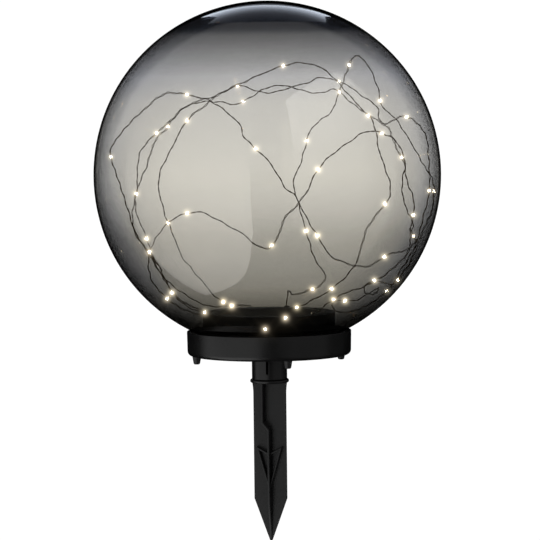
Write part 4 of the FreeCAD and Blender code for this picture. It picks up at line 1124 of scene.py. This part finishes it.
class GLOBELIGHT_OT_stage(bpy.types.Operator):
    """Lay the pale floor and backdrop, and set the studio lights"""
    bl_idname = "globelight.stage"
    bl_label = "Stage"

    def execute(self, context):
        look = context.scene.globe_light.stage
        sweep = self.sweep()
        wear(sweep, self.backdrop(look))
        sweep.visible_glossy = False
        self.overhead_card()
        for card in WALL_CARDS:
            self.wall_card(*card)
        self.surroundings(context)
        self.glow(context)
        return {"FINISHED"}

    def sweep(self):
        """Floor that bends up into the backdrop behind the lamp."""
        only()
        bpy.ops.mesh.primitive_plane_add(size=SWEEP_SIZE, location=(0, SWEEP_MIDDLE, FLOOR))
        sweep = done(name_piece("floor_sweep"))
        edit_chosen(sweep, lambda co: co.y > SWEEP_BACK)
        pushed((0, 0, SWEEP_HEIGHT))
        edit_chosen(sweep, lambda co: co.y > SWEEP_BACK and co.z < FLOOR + SWEEP_BEND)
        bpy.ops.mesh.bevel(offset=SWEEP_BEND, segments=16)
        leave_edit()
        bpy.ops.object.shade_smooth()
        return sweep

    def card(self, name, corners, axis, low, high, stops):
        """Unseen glowing card through its corners, its light changing along one axis."""
        card = drawn(name, corners + corners[:1])
        bpy.ops.mesh.edge_face_add()
        done(card)
        finish, tree = new_finish(name + "_glow")
        tone = ramp(tree, span(tree, axis, low, high), *stops)
        wear(card, coated(finish, node(tree, "ShaderNodeEmission", Color=tone)))
        card.visible_camera = False
        return card

    def overhead_card(self):
        """Card over and behind the globe, cool, brighter at its far end."""
        corners = [Vector((x * CARD_RISE, y * CARD_RISE, CENTRE.z + CARD_RISE))
                   for x, y in OVERHEAD_CARD]
        stops = [(at, (*(v * part for part in OVERHEAD_TINT), 1)) for at, v in OVERHEAD_LIGHT]
        card = self.card("overhead_card", corners, "Y", OVERHEAD_NEAR * CARD_RISE,
                         OVERHEAD_FAR * CARD_RISE, stops)
        card.visible_diffuse = False

    def wall_card(self, name, middle, along, outline, light):
        """Upright card beside the lamp, as WALL_CARDS gives it."""
        corners = [Vector((*(Vector(middle) + Vector(along) * t), CENTRE.z + up))
                   for t, up in outline]
        self.card(name, corners, "Z", CENTRE.z - WALL_REACH, CENTRE.z + WALL_REACH, tones(light))

    def backdrop(self, look):
        """White behind the lamp, grey towards the front as painted shade of the studio light's
        falloff, clear from behind or below.
        """
        finish, tree = new_finish("studio_sweep_painted_falloff")
        # Painted shade: the floor darkens towards the front as if less light reached it
        tone = ramp(tree, span(tree, "Y", PAINTED_FALLOFF_FRONT, PAINTED_FALLOFF_BACK), (0, grey(look.front)),
                    (1, grey(look.white)))
        behind = node(tree, "ShaderNodeNewGeometry", give="Backfacing")
        return coated(finish, mixed(tree, behind, node(tree, "ShaderNodeEmission", Color=tone),
                                    node(tree, "ShaderNodeBsdfTransparent")))

    def surroundings(self, context):
        """A dim tent, lighter above and dark behind the lamp; pale where the camera sees it."""
        world = bpy.data.worlds.new("studio")
        context.scene.world = world
        world.use_nodes = True
        tree = world.node_tree
        rise = ramp(tree, span(tree, "Z", -1, 1, "Generated"), *tones(TENT_RISE))
        back = ramp(tree, span(tree, "Y", -1, 1, "Generated"), *tones(TENT_BACK))
        seen = node(tree, "ShaderNodeLightPath", give="Is Camera Ray")
        tent = blended(tree, seen, multiplied(tree, rise, back), grey(1.0))
        feed(tree, tree.nodes["Background"].inputs["Color"], tent)
        world.cycles_visibility.diffuse = False

    def glow(self, context):
        """Soft edge, small glow and star on each bright light, as a lens gives them."""
        scene = context.scene
        scene.view_settings.view_transform = "Standard"
        scene.use_nodes = True
        tree = scene.node_tree
        tree.nodes.clear()
        last = node(tree, "CompositorNodeRLayers", give="Image")
        bright = node(tree, "CompositorNodeGlare", Image=last, Threshold=BRIGHT,
                      give="Highlights")
        blur = node(tree, "CompositorNodeBlur", Image=bright, filter_type="GAUSS",
                    size_x=HALO_PIXELS, size_y=HALO_PIXELS, give="Image")
        last = node(tree, "CompositorNodeMixRGB", HALO_SHARE, last, blur, blend_type="ADD",
                    give="Image")
        for kind, values in (("BLOOM", BLOOM), ("STREAKS", STREAKS)):
            last = node(tree, "CompositorNodeGlare", glare_type=kind, Image=last, give="Image",
                        **values)
        node(tree, "CompositorNodeComposite", Image=last)


class GLOBELIGHT_PT_panel(bpy.types.Panel):
    """Lists the pieces in the order they are built"""
    bl_idname = "GLOBELIGHT_PT_panel"
    bl_label = "Globe Light"
    bl_space_type = "VIEW_3D"
    bl_region_type = "UI"
    bl_category = "Globe Light"

    def draw(self, context):
        settings = context.scene.globe_light
        for step in STEPS:
            self.layout.operator(step.bl_idname)
        for title in GlobeLightSettings.__annotations__:
            group = getattr(settings, title)
            box = self.layout.box()
            for name in group.__annotations__:
                box.prop(group, name)


STEPS = (GLOBELIGHT_OT_camera, GLOBELIGHT_OT_lights, GLOBELIGHT_OT_wire, GLOBELIGHT_OT_globe,
         GLOBELIGHT_OT_spike, GLOBELIGHT_OT_base, GLOBELIGHT_OT_feet, GLOBELIGHT_OT_parts,
         GLOBELIGHT_OT_stage)
CLASSES = (GlobeLook, StringLook, BaseLook, SpikeSizes, FootSizes, StageLook,
           GlobeLightSettings, *STEPS, GLOBELIGHT_PT_panel)


def register():
    for item in CLASSES:
        bpy.utils.register_class(item)
    bpy.types.Scene.globe_light = bpy.props.PointerProperty(type=GlobeLightSettings)


def unregister():
    del bpy.types.Scene.globe_light
    for item in reversed(CLASSES):
        bpy.utils.unregister_class(item)


def main():
    register()
    for step in STEPS:
        family, name = step.bl_idname.split(".")
        getattr(getattr(bpy.ops, family), name)()


if __name__ == "__main__":
    main()
